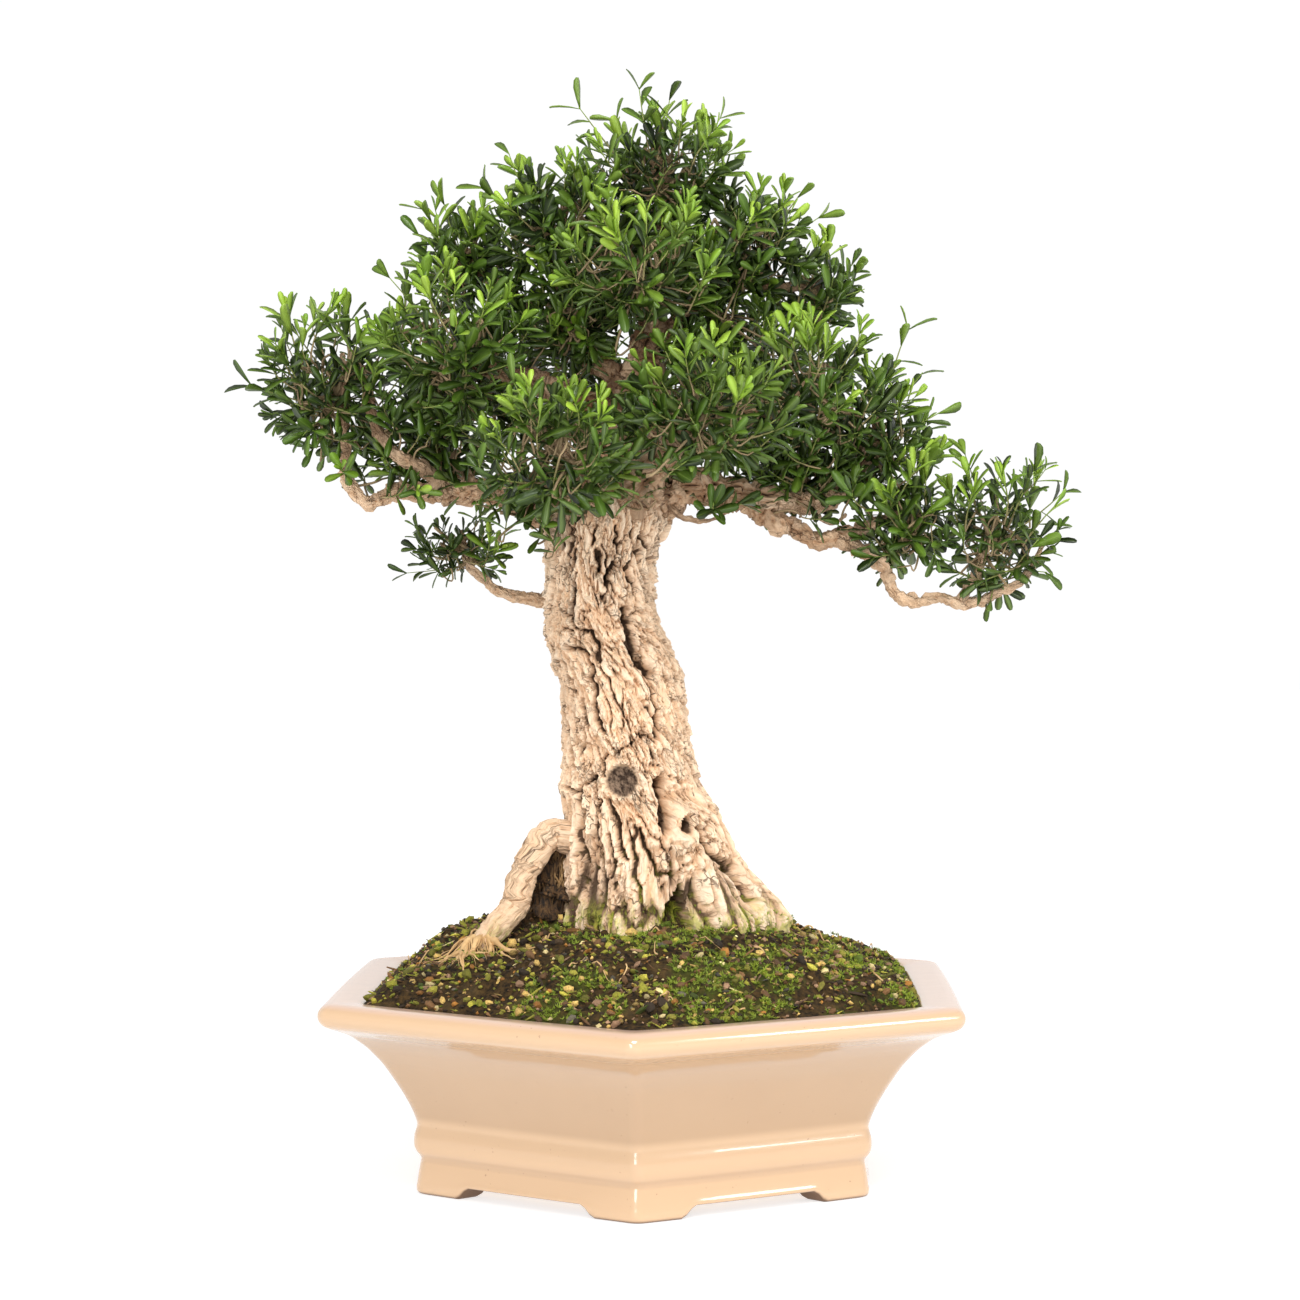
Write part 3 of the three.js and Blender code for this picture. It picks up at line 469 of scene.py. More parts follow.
golden = (1 + 5**0.5) / 2
oblong = np.array([(x, y, 0) for x in (-1, 1) for y in (-golden, golden)])
twenty_sided = stone_shape(np.concatenate([np.roll(oblong, turn, axis=1) for turn in range(3)]), 2.1)
eight_sided = stone_shape(np.concatenate([np.eye(3), -np.eye(3)]), 1.5)
points, faces, stone, first = [], [], [], 0
for (shape, shape_faces), number, seed, smallest, widest in (
        (twenty_sided, 2300, 5, 1.55, 3.8), (eight_sided, 4800, 6, 0.95, 2.0)):
    places, chance = strewn(number, seed)
    count, corners = len(places), len(shape)
    radius = np.minimum(smallest * (1 - chance.uniform(0, 0.9, count)) ** -0.4, widest)
    turn = chance.uniform(0, 2 * np.pi, count)
    squash = chance.uniform(0.6, 1.0, (count, 3)) * [1.25, 1.0, 0.85]
    splinter = chance.uniform(0, 1, count) < 0.14
    squash[splinter] = squash[splinter] * [2.4, 0.5, 0.5]
    grains = shape[None] * (squash * radius[:, None])[:, None]
    grains = grains * chance.uniform(0.8, 1.2, (count, corners, 1))
    tilt = chance.uniform(-0.6, 0.6, (count, 1))
    x, y, z = np.moveaxis(grains, -1, 0)
    x_turned, y_turned = spun(x, y, turn[:, None])
    rest = soil_height(*places.T) + 0.25 * radius
    lying = xyz(x_turned + places[:, :1], y_turned + places[:, 1:], z + x * tilt + rest[:, None])
    points.append(lying.reshape(-1, 3))
    picked = chance.choice(len(GRAIN_COLOURS), count, p=GRAIN_SHARES)
    colours = GRAIN_COLOURS[picked] * chance.uniform(0.75, 1.3, (count, 1))
    stone.append(np.repeat(colours, corners, axis=0))
    starts = first + corners * np.arange(count)
    faces.append((starts[:, None, None] + shape_faces[None]).reshape(-1, 3))
    first += len(points[-1])

grit_finish = Finish("washed_grit")
spot = grit_finish.place()
worn = grit_finish.noise(spot, 0.9, 3)
stain = grit_finish.mix(0.5 * grit_finish.band(worn, 0.42, 0.75),
                        grit_finish.mark("stone", 1), (0.20, 0.16, 0.11))
grit = piece("grit", np.concatenate(points), [np.concatenate(faces)], grit_finish.finished(
    Base_Color=stain, Roughness=0.85, relief=worn, depth=0.5), soft=False,
    stone=np.clip(np.concatenate(stone), 0, 1) ** 2.2)


# The trunk: corky bark in long ridges that lean with the grain, split by deep fissures, broken
# into plates near the fork, and drawn out at its foot into spreading roots.

TREE_TURN = np.radians(1.953)
BARK_RADIUS = 46
SCAR_X, SCAR_Z, SCAR_RADIUS = -14.5, 234, 9
KNOT_X, KNOT_Z = 21, 209
# The trunk at each height: its middle, and its half width across and front to back.
TRUNK_HEIGHTS = [
    62, 120, 145, 160, 175, 193, 211, 229, 248, 267, 286, 301, 313, 330, 344, 362, 375, 388, 400,
    412]
TRUNK_MIDDLE_X = [
    5, 4, 3, 2, 1, 0, -3.5, -9, -11, -13, -14.5, -18, -23, -27.5, -28, -29, -27, -26, -25, -22]
TRUNK_MIDDLE_Y = [0, 0, 0, 0, 0, 0, 0, 0, 0, 0, 0, 0, -1, -1, -2, -2, -2, -2, -2, -2]
TRUNK_ACROSS = [
    36, 47, 49, 48, 47.5, 46.5, 44, 40, 37, 36, 35.5, 36, 35, 31.5, 30, 29.5, 32, 37, 34, 24]
TRUNK_DEEP = [34, 46, 47, 45, 43, 41, 39, 37, 36, 35, 34, 34, 33, 31, 30, 30, 31, 33, 31, 23]
# Heading in degrees, reach, top and spread in degrees.
ROOT_FLARES = [(-6, 27, 205, 20), (-47, 24, 232, 17), (-104, 20, 215, 22), (-145, 9, 195, 18),
               (42, 19, 205, 19), (96, 22, 215, 22), (146, 17, 200, 19)]
FLARE_LEVEL = 148
# Swellings and hollows of the front: half width, rise, and a line of x and z.
FRONT_FORMS = [
    (11, 6.0, [(14.7, 207.6), (25, 190.3), (39.4, 170.2), (53.8, 148.9)]),
    (11, 3.5, [(-18.1, 196), (-15.3, 173), (-10.7, 150)]),
    (6, 4.0, [(31, 218), (51, 189), (65.7, 169), (80, 152)]),
    (5, -6.0, [(33.8, 198.5), (48.2, 181), (59.7, 163.8)]),
    (7, 2.5, [(-38.5, 201), (-39.6, 178), (-35.6, 160.7)]),
    (4.5, -5.0, [(-28.6, 195.6), (-26.9, 163.8)]), (5, 3.5, [(-0.9, 331), (3.2, 305)]),
    (6, -5.0, [(2.0, 190), (4.0, 160)]), (8, 2.5, [(-36, 345), (-42, 332), (-37, 318)]),
    (9, 2.0, [(-30, 300), (-22, 262)]), (5, -3.0, [(8.5, 232), (10, 208)])]
# The long cracks of the front: half width, drop, and a line of x and z.
SEAMS = [
    (1.0, 3.5, [(-40.5, 349), (-40, 327)]),
    (0.9, 3.0, [(-50, 335), (-47.4, 334), (-41.6, 331), (-40, 326), (-46, 322)]),
    (1.3, 4.5, [(-40.4, 326), (-31.7, 322), (-30.5, 318.5), (-27, 312.7), (-27, 304)]),
    (1.4, 5.0, [(-44.5, 311.5), (-39.3, 311), (-34.6, 308), (-30.5, 301), (-30.5, 293.5),
        (-28, 275), (-26.5, 266), (-24, 263)]),
    (2.4, 8.0, [(-13, 334), (-12, 319.6), (-7.3, 306.8), (-3.8, 301.6), (2, 296.3)]),
    (1.2, 4.0, [(-11.4, 327), (-6, 308)]),
    (0.9, 3.0, [(-26, 301), (-18.3, 283.6), (-11.4, 270), (-9.6, 264)]),
    (1.1, 3.5, [(-2.7, 296), (2, 286), (6, 273)]), (2.6, 7.0, [(5.5, 271), (6.4, 259)]),
    (1.2, 4.0, [(-23.5, 250), (-24.7, 237)]),
    (1.7, 5.5, [(-23, 224), (-20, 215.5), (-14.2, 206.8), (-14.2, 198), (-11.3, 189.5)]),
    (1.3, 4.5, [(-27.5, 223), (-29.2, 212.8), (-27, 192.5), (-24, 178), (-23.4, 163)]),
    (1.5, 5.0, [(-7.2, 207), (-6, 193), (-7.2, 181.4), (-3.8, 169.8), (-2.6, 158)]),
    (1.5, 5.0, [(-3.8, 207), (0.3, 193), (6, 181.4), (14.7, 180)]),
    (3.4, 12.0, [(7.8, 232.6), (10.7, 225.6), (9.4, 215), (12.5, 205)]),
    (1.6, 6.0, [(28, 207), (36.7, 195.4), (48, 184), (58, 169.4), (63, 163)]),
    (1.1, 4.0, [(-46, 228.7), (-40.3, 227), (-32.8, 235.6), (-29.3, 237)]),
    (0.8, 2.5, [(-16.6, 250), (-14.2, 254)]),
    (0.9, 3.0, [(-20, 253), (-9.6, 255.8), (-1, 261.6), (5, 255.8)]),
    (1.2, 4.0, [(-49.3, 305), (-44.6, 293.4)]), (1.0, 3.5, [(-43.8, 258.7), (-42.7, 241)]),
    (1.3, 4.5, [(-36.8, 215.5), (-38.5, 201), (-35, 186.6)]),
    (1.1, 4.0, [(-20, 204), (-16.5, 189.6), (-20, 178)]),
    (0.9, 3.0, [(14, 301), (17, 287), (22, 275)]), (0.9, 3.0, [(-25, 372), (-23, 352), (-26, 340)]),
    (1.0, 3.5, [(-8, 380), (-10, 356), (-13, 338)]), (0.9, 3.0, [(-45, 375), (-44, 357)]),
    (0.9, 3.0, [(-36, 283), (-35, 262), (-38, 247)]), (1.3, 5.0, [(-29.7, 384), (-30.3, 371)]),
    (1.8, 6.5, [(-28, 368), (-27.4, 357)]), (1.1, 4.0, [(-43.6, 383), (-42, 360)]),
    (1.1, 4.0, [(-41.7, 356), (-41.5, 335)]), (1.5, 6.0, [(-19.5, 361), (-25, 350)]),
    (1.6, 5.0, [(-12, 357), (-6.6, 348)]), (1.0, 4.0, [(-17.6, 385), (-16.7, 367)]),
    (0.9, 3.0, [(-49, 379), (-48, 367)]), (1.2, 4.0, [(-3, 379), (-1, 356)])]


def turned(points):
    """The tree's own axes turned a little about the pot's upright axis."""
    x, y, z = np.moveaxis(points, -1, 0)
    return xyz(*spun(x, y, TREE_TURN), z)


def cells(points, seed):
    """For points strewn one to a lattice cell: the distances to the nearest and the next one, a
    number from 0 to 1 that is the nearest one's own, and how far above it the place lies."""
    home = np.floor(points)
    nearest = np.full(points.shape[:-1], 9.0)
    second, own, above = nearest.copy(), nearest * 0, nearest * 0
    for shift in product((-1, 0, 1), repeat=3):
        cell = home + np.array(shift)
        seedling = cell + 0.12 + 0.76 * xyz(*(lattice(cell, seed + axis) for axis in range(3)))
        gap = points - seedling
        away = np.sqrt((gap**2).sum(axis=-1))
        nearer = away < nearest
        second = np.where(nearer, nearest, np.minimum(second, away))
        own = np.where(nearer, lattice(cell, seed + 7), own)
        above = np.where(nearer, gap[..., 2], above)
        nearest = np.minimum(nearest, away)
    return nearest, second, own, above


def bark(grain, around, ridges, seed=0):
    """Corky bark in coordinates laid along the grain, in millimetres, with its heading in radians
    and a whole number of ridges. Returns its height, the depth of its cracks from 0 to 1, and a tone
    for each plate. Fissures follow cosines of the heading that noise bends and interrupts. Plates
    between them are cells stretched along the grain, each at its own level, lifted at one end."""
    wander = xyz(*(rough(grain / [9, 9, 24], 3, seed + axis) for axis in (11, 15, 19)))
    bent = grain + wander * [4.0, 4.0, 11]
    bend = 4.6 * rough(grain / [22, 22, 42], 2, seed + 2) + 1.3 * ripple(bent / [6, 6, 13], seed + 4)
    present = smooth(ripple(bent / [11, 11, 30], seed + 5), -0.2, 0.35)
    fissure = smooth(np.cos(ridges * around + bend), 0.86, 0.99) * present
    bend = 5.5 * rough(grain / [12, 12, 26], 2, seed + 6)
    present = smooth(ripple(bent / [7, 7, 18], seed + 8), -0.3, 0.3)
    crack = smooth(np.cos((2 * ridges + 5) * around + bend), 0.84, 0.99) * present
    nearest, second, tone, above = cells(bent / [8.5, 8.5, 21], seed + 1)
    plate = smooth(second - nearest, 0.0, 0.09)
    nearest, second, small_tone, small_above = cells(bent / [3.8, 3.8, 7.5] + 7.7, seed + 3)
    flake = smooth(second - nearest, 0.0, 0.2)
    broken = smooth(ripple(grain / [22, 22, 40], seed + 9), -0.45, 0.35)
    height = -3.4 * fissure - 1.7 * crack + 1.8 * (plate - 1) + (0.35 + 0.7 * broken) * (flake - 1)
    height += 2.6 * tone * plate + 1.1 * small_tone * flake - 2.6 * above * plate - 1.0 * small_above
    height += 0.5 * rough(bent / [2.1, 2.1, 5], 2, seed + 10)
    edges = 0.8 * (1 - plate) + 0.25 * (1 - flake)
    depth = 0.9 * fissure + 0.7 * crack + edges * (0.35 + 0.65 * broken)
    return height, np.clip(depth, 0, 1), np.clip(0.6 * tone + 0.4 * small_tone, 0, 1)


def near_line(knots, across, high):
    """How far each place lies from a line through knots of x and z: the least of its distances to
    the straight parts, each taken at the foot of its perpendicular."""
    nearest = np.full(across.shape, 99.0)
    for (x, low), (next_x, next_low) in zip(knots, knots[1:]):
        run, rise = next_x - x, next_low - low
        share = np.clip(((across - x) * run + (high - low) * rise) / (run**2 + rise**2), 0, 1)
        nearest = np.minimum(nearest, np.hypot(across - x - share * run, high - low - share * rise))
    return nearest


def smeared(field, rows, columns):
    """A field's mean over the rows and columns around each place."""
    for reach, axis in ((rows, 0), (columns, 1)):
        field = sum(np.roll(field, shift, axis) for shift in range(-reach, reach + 1)) / (2 * reach + 1)
    return field


heights = np.concatenate([np.linspace(70, 128, 7), np.arange(131, 412, 1.25)])
z, heading = np.meshgrid(heights, all_round(344), indexing="ij")
middle_x, middle_y, across, deep = (
    curve_through(TRUNK_HEIGHTS, values, z)
    for values in (TRUNK_MIDDLE_X, TRUNK_MIDDLE_Y, TRUNK_ACROSS, TRUNK_DEEP))
low_grain = polar(heading, BARK_RADIUS, z * 0.25)
# Each root flare falls off as exp(-(degrees away / spread)^2), and grows from its top downwards.
flare = 0
for toward, reach, top, spread in ROOT_FLARES:
    off = np.abs(np.mod(np.degrees(heading) - toward + 180, 360) - 180)
    flare += reach * smooth(z, top, FLARE_LEVEL) ** 1.5 * np.exp(-((off / spread) ** 2))
sinew = 1 - np.abs(ripple(low_grain / [11, 11, 14], 41)) * 2
flare += 4.5 * sinew * smooth(z, 225, 160)
swell = 2.2 * ripple(low_grain / [20, 20, 8], 43)
# The grain leans by 0.0078 radians a millimetre between the two levels, with soft ends.
lean_above, lean_below = (0.078 * np.log1p(np.exp((level - z) / 10)) for level in (345, 222))
lean = lean_above - lean_below
length = np.interp(z, [62, 150, 230, 300, 346, 412], [0, 46, 98, 172, 242, 300])
grain = polar(heading - lean, BARK_RADIUS, length)
height, depth, tone = bark(grain, heading - lean, 21)
height = height * np.interp(z, [150, 200, 240, 295, 330, 370, 392],
                            [0.8, 1.0, 0.75, 0.8, 1.15, 1.3, 0.9])
# Low down the bark is calmer, with long upright slats: dark gaps lie where a slow noise crosses 0.
low = smooth(z, 218, 172)
slats = polar(heading, BARK_RADIUS, z * 0.1)
slats = slats + 1.6 * xyz(rough(slats / [14, 14, 5], 2, 81), rough(slats / [14, 14, 5], 2, 83), 0)
wide_gap = np.exp(-((ripple(slats / 6.4, 45) / 0.13) ** 2))
thin_gap = np.exp(-((ripple(slats / 2.9, 47) / 0.16) ** 2))
calm = low * (0.3 + 0.2 * smooth(middle_x + across * np.cos(heading), 5, 32))
height = height * (1 - calm) - low * (3.0 * wide_gap + 1.4 * thin_gap)
height = height + low * 1.2 * ripple(slats / 3.5, 49)
depth = np.maximum(depth * (1 - 0.6 * calm), low * np.maximum(wide_gap, 0.75 * thin_gap))
surface_x = middle_x + (across + flare + swell) * np.cos(heading)
surface_y = middle_y + (deep + flare + swell) * np.sin(heading)
front = smooth(-surface_y, -4, 8)
for half_width, rise, knots in FRONT_FORMS:
    height += rise * front * np.exp(-((near_line(knots, surface_x, z) / half_width) ** 2))
flat_place = xyz(surface_x, z, 0)
shaky_x, shaky_z = (own + 1.5 * rough(flat_place / 6, 3, seed)
                    for own, seed in ((surface_x, 61), (z, 67)))

# The sawn scar: its measure is 1 at the edge. Wood rolls round it, and the cut face lies sunk.
behind = 9 * (1 - front)
scar = np.hypot((shaky_x + surface_x) / 2 - SCAR_X, (shaky_z + z) / 2 - SCAR_Z) / SCAR_RADIUS + behind
quiet = smooth(scar, 1.0, 1.14)
crumbs = 1 + 0.8 * ripple(flat_place / 2.6, 71)
height = height * quiet + 2.2 * np.exp(-(((scar - 1.2) / 0.2) ** 2)) * crumbs
sawn_rings = 0.3 * (scar < 1) * ripple(flat_place / 1.8, 73)
height += -1.8 * smooth(scar, 1.05, 0.95) - 0.7 * smooth(scar, 0.6, 0.1) + sawn_rings
depth = depth * quiet
# Seams drop to their full depth inside a third of their half width, with a low swell beside them.
for half_width, drop, knots in SEAMS:
    away = near_line(knots, shaky_x, shaky_z)
    slot = smooth(away, half_width * 1.25, 0.3 * half_width) * front * quiet
    height += -drop * slot + 0.2 * drop * front * np.exp(-((away / half_width - 2.3) ** 2)) * quiet
    depth = np.maximum(depth, slot)

# The ringed knot: a raised lip round a deep hole, then curls that follow a cosine, and a moat.
off_x, off_z = shaky_x - KNOT_X, (shaky_z - KNOT_Z) / 1.6
toward = np.arctan2(off_z, off_x)
knot = np.hypot(off_x, off_z) + 1.6 * ripple(flat_place / 4, 75) + 0.9 * np.sin(toward + 0.6)
knot = knot + 99 * (1 - front)
curl = np.cos(1.9 * knot + 2 * toward)
lip = 1 - 0.4 * np.cos(2 * toward)
height = height * (0.7 + 0.3 * smooth(knot, 6, 13)) + 4.6 * lip * np.exp(-(((knot - 5.9) / 1.9) ** 2))
moat = np.exp(-(((knot - 12) / 1.6) ** 2))
height += 1.3 * curl * smooth(knot, 15, 8) - 3.2 * moat - 13 * smooth(knot, 3.6, 2.2)
# Painted shade: the crack mark darkens the hole, the troughs between the curls and the moat.
depth = np.maximum(depth * (0.4 + 0.6 * smooth(knot, 6, 12)), smooth(knot, 4.0, 3.0))
depth = np.maximum(depth, 0.45 * smooth(-curl, 0.5, 1.0) * smooth(knot, 14, 9) * smooth(knot, 3, 5))
depth = np.maximum(depth, 0.6 * np.exp(-(((knot - 12) / 1.4) ** 2)))
# The hollow at the foot narrows upwards.
cave = np.abs(shaky_x - 17.5) / np.maximum(10.5 * (1 - (z - 148) / 30), 0.8)
cave = smooth(cave, 1.15, 0.6) * smooth(shaky_z, 178, 170) * front
height -= 15 * cave
# Painted shade: the crack mark darkens the hollow.
depth = np.maximum(depth, 0.9 * cave)
height += 0.5 * rough(xyz(surface_x, surface_y, 0.45 * z) / 2.6, 2, 91) * smooth(scar, 0.9, 1.05)
height *= smooth(z, 120, 136)
foot_y = surface_y + height * np.sin(heading)
rings = turned(xyz(surface_x + height * np.cos(heading), foot_y, z))
# Painted shade and light: what lies lower than its surroundings is painted darker, and what stands
# proud is painted paler; above 320 mm the trunk is painted paler against the shade of the leaves.
sunk = smeared(height, 3, 5) - height
depth = depth * np.interp(z, [200, 240, 300, 330], [1, 0.8, 0.8, 1]) + 0.25 * smooth(sunk, 0.8, 3.2)
tone = np.clip(0.55 * tone + 0.45 * smooth(-sunk, -0.6, 1.6) + 0.3 * smooth(z, 320, 360), 0, 1)

cork = Finish("corky_bark")
along = cork.mark("grain", 1)
crack_and_shade_mark, tone_and_light_mark, weather_and_shade = cork.mark("depth"), cork.mark("tone"), cork.mark("weather_and_shade")
swirl = cork.add("ShaderNodeTexNoise", {}, {"Vector": along, "Scale": 1 / 7, "Detail": 3.0}, 1)
bent = cork.vector("MULTIPLY_ADD", swirl, (9, 9, 20), along)


def bark_cells(width, height, output=0, **settings):
    """Cells of bark so many millimetres wide and high, bent with the swirl."""
    squeezed = cork.vector("MULTIPLY", bent, (1 / width, 1 / width, 1 / height))
    return cork.add("ShaderNodeTexVoronoi", settings, {"Vector": squeezed, "Scale": 1.0}, output)


split = cork.band(bark_cells(6, 17, feature="DISTANCE_TO_EDGE"), 0.036, 0.008)
split = split * cork.band(cork.noise(along, 13, 3), 0.48, 0.60)
hairline = cork.band(bark_cells(2.4, 5.5, feature="DISTANCE_TO_EDGE"), 0.08, 0.015)
hairline = hairline * cork.band(cork.noise(along, 10, 3), 0.50, 0.60)
level = cork.split(bark_cells(2.9, 8, 1), 0)
fibre = cork.noise(cork.vector("MULTIPLY", bent, (1, 1, 0.13)), 1.5, 3, 0.6)
lump = cork.noise(cork.vector("MULTIPLY", along, (1, 1, 0.5)), 2.6, 6, 0.68)
patch = cork.noise(along, 17, 4, 0.6)
# Grey-brown patches by the weather mark, which on the trunk also carries painted shade down its flanks.
weathered_and_shaded = weather_and_shade * (0.45 + 0.55 * cork.band(patch, 0.34, 0.66))
sawn = cork.band(cork.noise(along, 3.0, 5, 0.7), 0.38, 0.64)
sawn = cork.mix(sawn, (0.22, 0.165, 0.13), (0.56, 0.47, 0.39))
algae = cork.mark("damp") * cork.band(cork.noise(along, 7, 4, 0.6), 0.38, 0.55)
algae = algae * cork.band(lump, 0.40, 0.52)
green = cork.mix(cork.band(fibre, 0.35, 0.6), (0.34, 0.39, 0.07), (0.70, 0.71, 0.26))
wood = cork.coats(
    cork.mix(tone_and_light_mark, (0.935, 0.79, 0.64), (1.0, 0.91, 0.80)),
    (cork.band(fibre, 0.52, 0.74) * 0.4, (0.72, 0.56, 0.41)),
    (cork.band(lump, 0.60, 0.76) * 0.2, (0.66, 0.52, 0.39)),
    (cork.band(patch, 0.58, 0.74) * 0.22, (0.72, 0.59, 0.47)), (weathered_and_shaded, (0.45, 0.33, 0.23)),
    (level * 0.16, (0.80, 0.64, 0.49)), (hairline * 0.45, (0.52, 0.37, 0.25)),
    # Dark cracks and painted shade: the crack mark darkens the bark's own fissures, and as painted
    # shade also the sunken places, the knot's hole, curls and moat, and the cave at the foot.
    (cork.band(crack_and_shade_mark, 0.15, 0.6) * 0.45, (0.68, 0.50, 0.35)),
    (cork.band(crack_and_shade_mark, 0.58, 0.9) * 0.9, (0.21, 0.135, 0.085)), (split * 0.7, (0.32, 0.22, 0.14)),
    (cork.mark("cut"), sawn), (algae * 0.85, green))
bark_finish = cork.finished(Base_Color=wood, Roughness=0.88, Specular_IOR_Level=0.25, depth=1.5,
                            relief=lump + 0.6 * fibre + 0.6 * level - 0.8 * split - 0.4 * hairline)
points, faces = skin(rings[None])
damp = 0.85 * smooth(z, 172, 150) + cave + 0.8 * smooth(sunk, 1.0, 3.5) * smooth(z, 205, 165)
# The trunk darkens towards its top, and its left and right flanks are painted darker as painted shade
# where the light grazes them.
darker_top_and_side_shade = 0.04 + 0.4 * smooth(z, 378, 405) + 0.1 * smooth(np.abs(np.cos(heading)), 0.8, 1.0)
bark_marks = {"depth": depth, "tone": tone, "cut": smooth(scar, 1.02, 0.93), "damp": damp,
              "weather_and_shade": darker_top_and_side_shade}
bark_marks = {mark: np.clip(values, 0, 1).ravel() for mark, values in bark_marks.items()}
trunk = piece("trunk", points, faces, bark_finish, soft=False, grain=grain.reshape(-1, 3), **bark_marks)
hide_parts("tree")


# The moss: bright cushions of tiny pointed leaves that have spread over the damp soil, thickest at
# the right and the front, and crept up between the roots.

LEAVES_A_SPRIG = 5
places, chance = strewn(26000, 11)
places = places[chance.uniform(0, 1, len(places)) < 0.03 + moss_share(*places.T) * 0.9][:3000]
base = np.column_stack([places, soil_height(*places.T) + 0.2])
foot = rings.reshape(-1, 3)[(damp * (z < 174) * (foot_y < 20) > 0.62).ravel()]
base = np.concatenate([base, chance.permutation(foot)[:420]])
low_growth = np.where(np.arange(len(base)) < len(places), 1, 0.7)[:, None]
count = len(base)
heading = chance.uniform(0, 2 * np.pi, (count, LEAVES_A_SPRIG))
slope = chance.uniform(0.25, 1.25, (count, LEAVES_A_SPRIG))
length = low_growth * chance.uniform(1.5, 3.6, (count, 1))
length = length * chance.uniform(0.7, 1.2, (count, LEAVES_A_SPRIG))
out = polar(heading, np.cos(slope), np.sin(slope))
side = xyz(-np.sin(heading), np.cos(heading), 0)
over = np.cross(out, side)
base = base[:, None]
tips = [base + 0.5 * side, base + 0.4 * over, base - 0.5 * side]
needles = np.stack(tips + [base + out * length[..., None]], axis=2)
corners = np.array([(0, 1, 2), (0, 3, 1), (1, 3, 2), (2, 3, 0)])
faces = (4 * np.arange(count * LEAVES_A_SPRIG))[:, None, None] + corners[None]
age = np.clip(np.repeat(ripple(base[:, 0] * [1, 1, 0] / 14, 31) * 0.4 + 0.5
              + chance.uniform(-0.25, 0.25, count), LEAVES_A_SPRIG * 4), 0, 1)
tip = np.tile([0.0, 0.0, 0.0, 1.0], count * LEAVES_A_SPRIG)

moss_finish = Finish("cushion_moss")
fresh = moss_finish.mix(moss_finish.mark("age"), (0.66, 0.73, 0.21), (0.43, 0.50, 0.12))
shaded = moss_finish.mix(0.5, fresh, (0.18, 0.24, 0.05))
fresh = moss_finish.mix(moss_finish.mark("tip"), shaded, fresh)
moss = piece("moss", needles.reshape(-1, 3), [faces.reshape(-1, 3)], moss_finish.finished(
    Base_Color=fresh, Roughness=0.7), soft=False, age=age, tip=tip)


# The boughs and the arched root: round limbs of the same corky bark, knobbly where side shoots
# were pruned away, each grown out of the trunk or of a stouter limb.

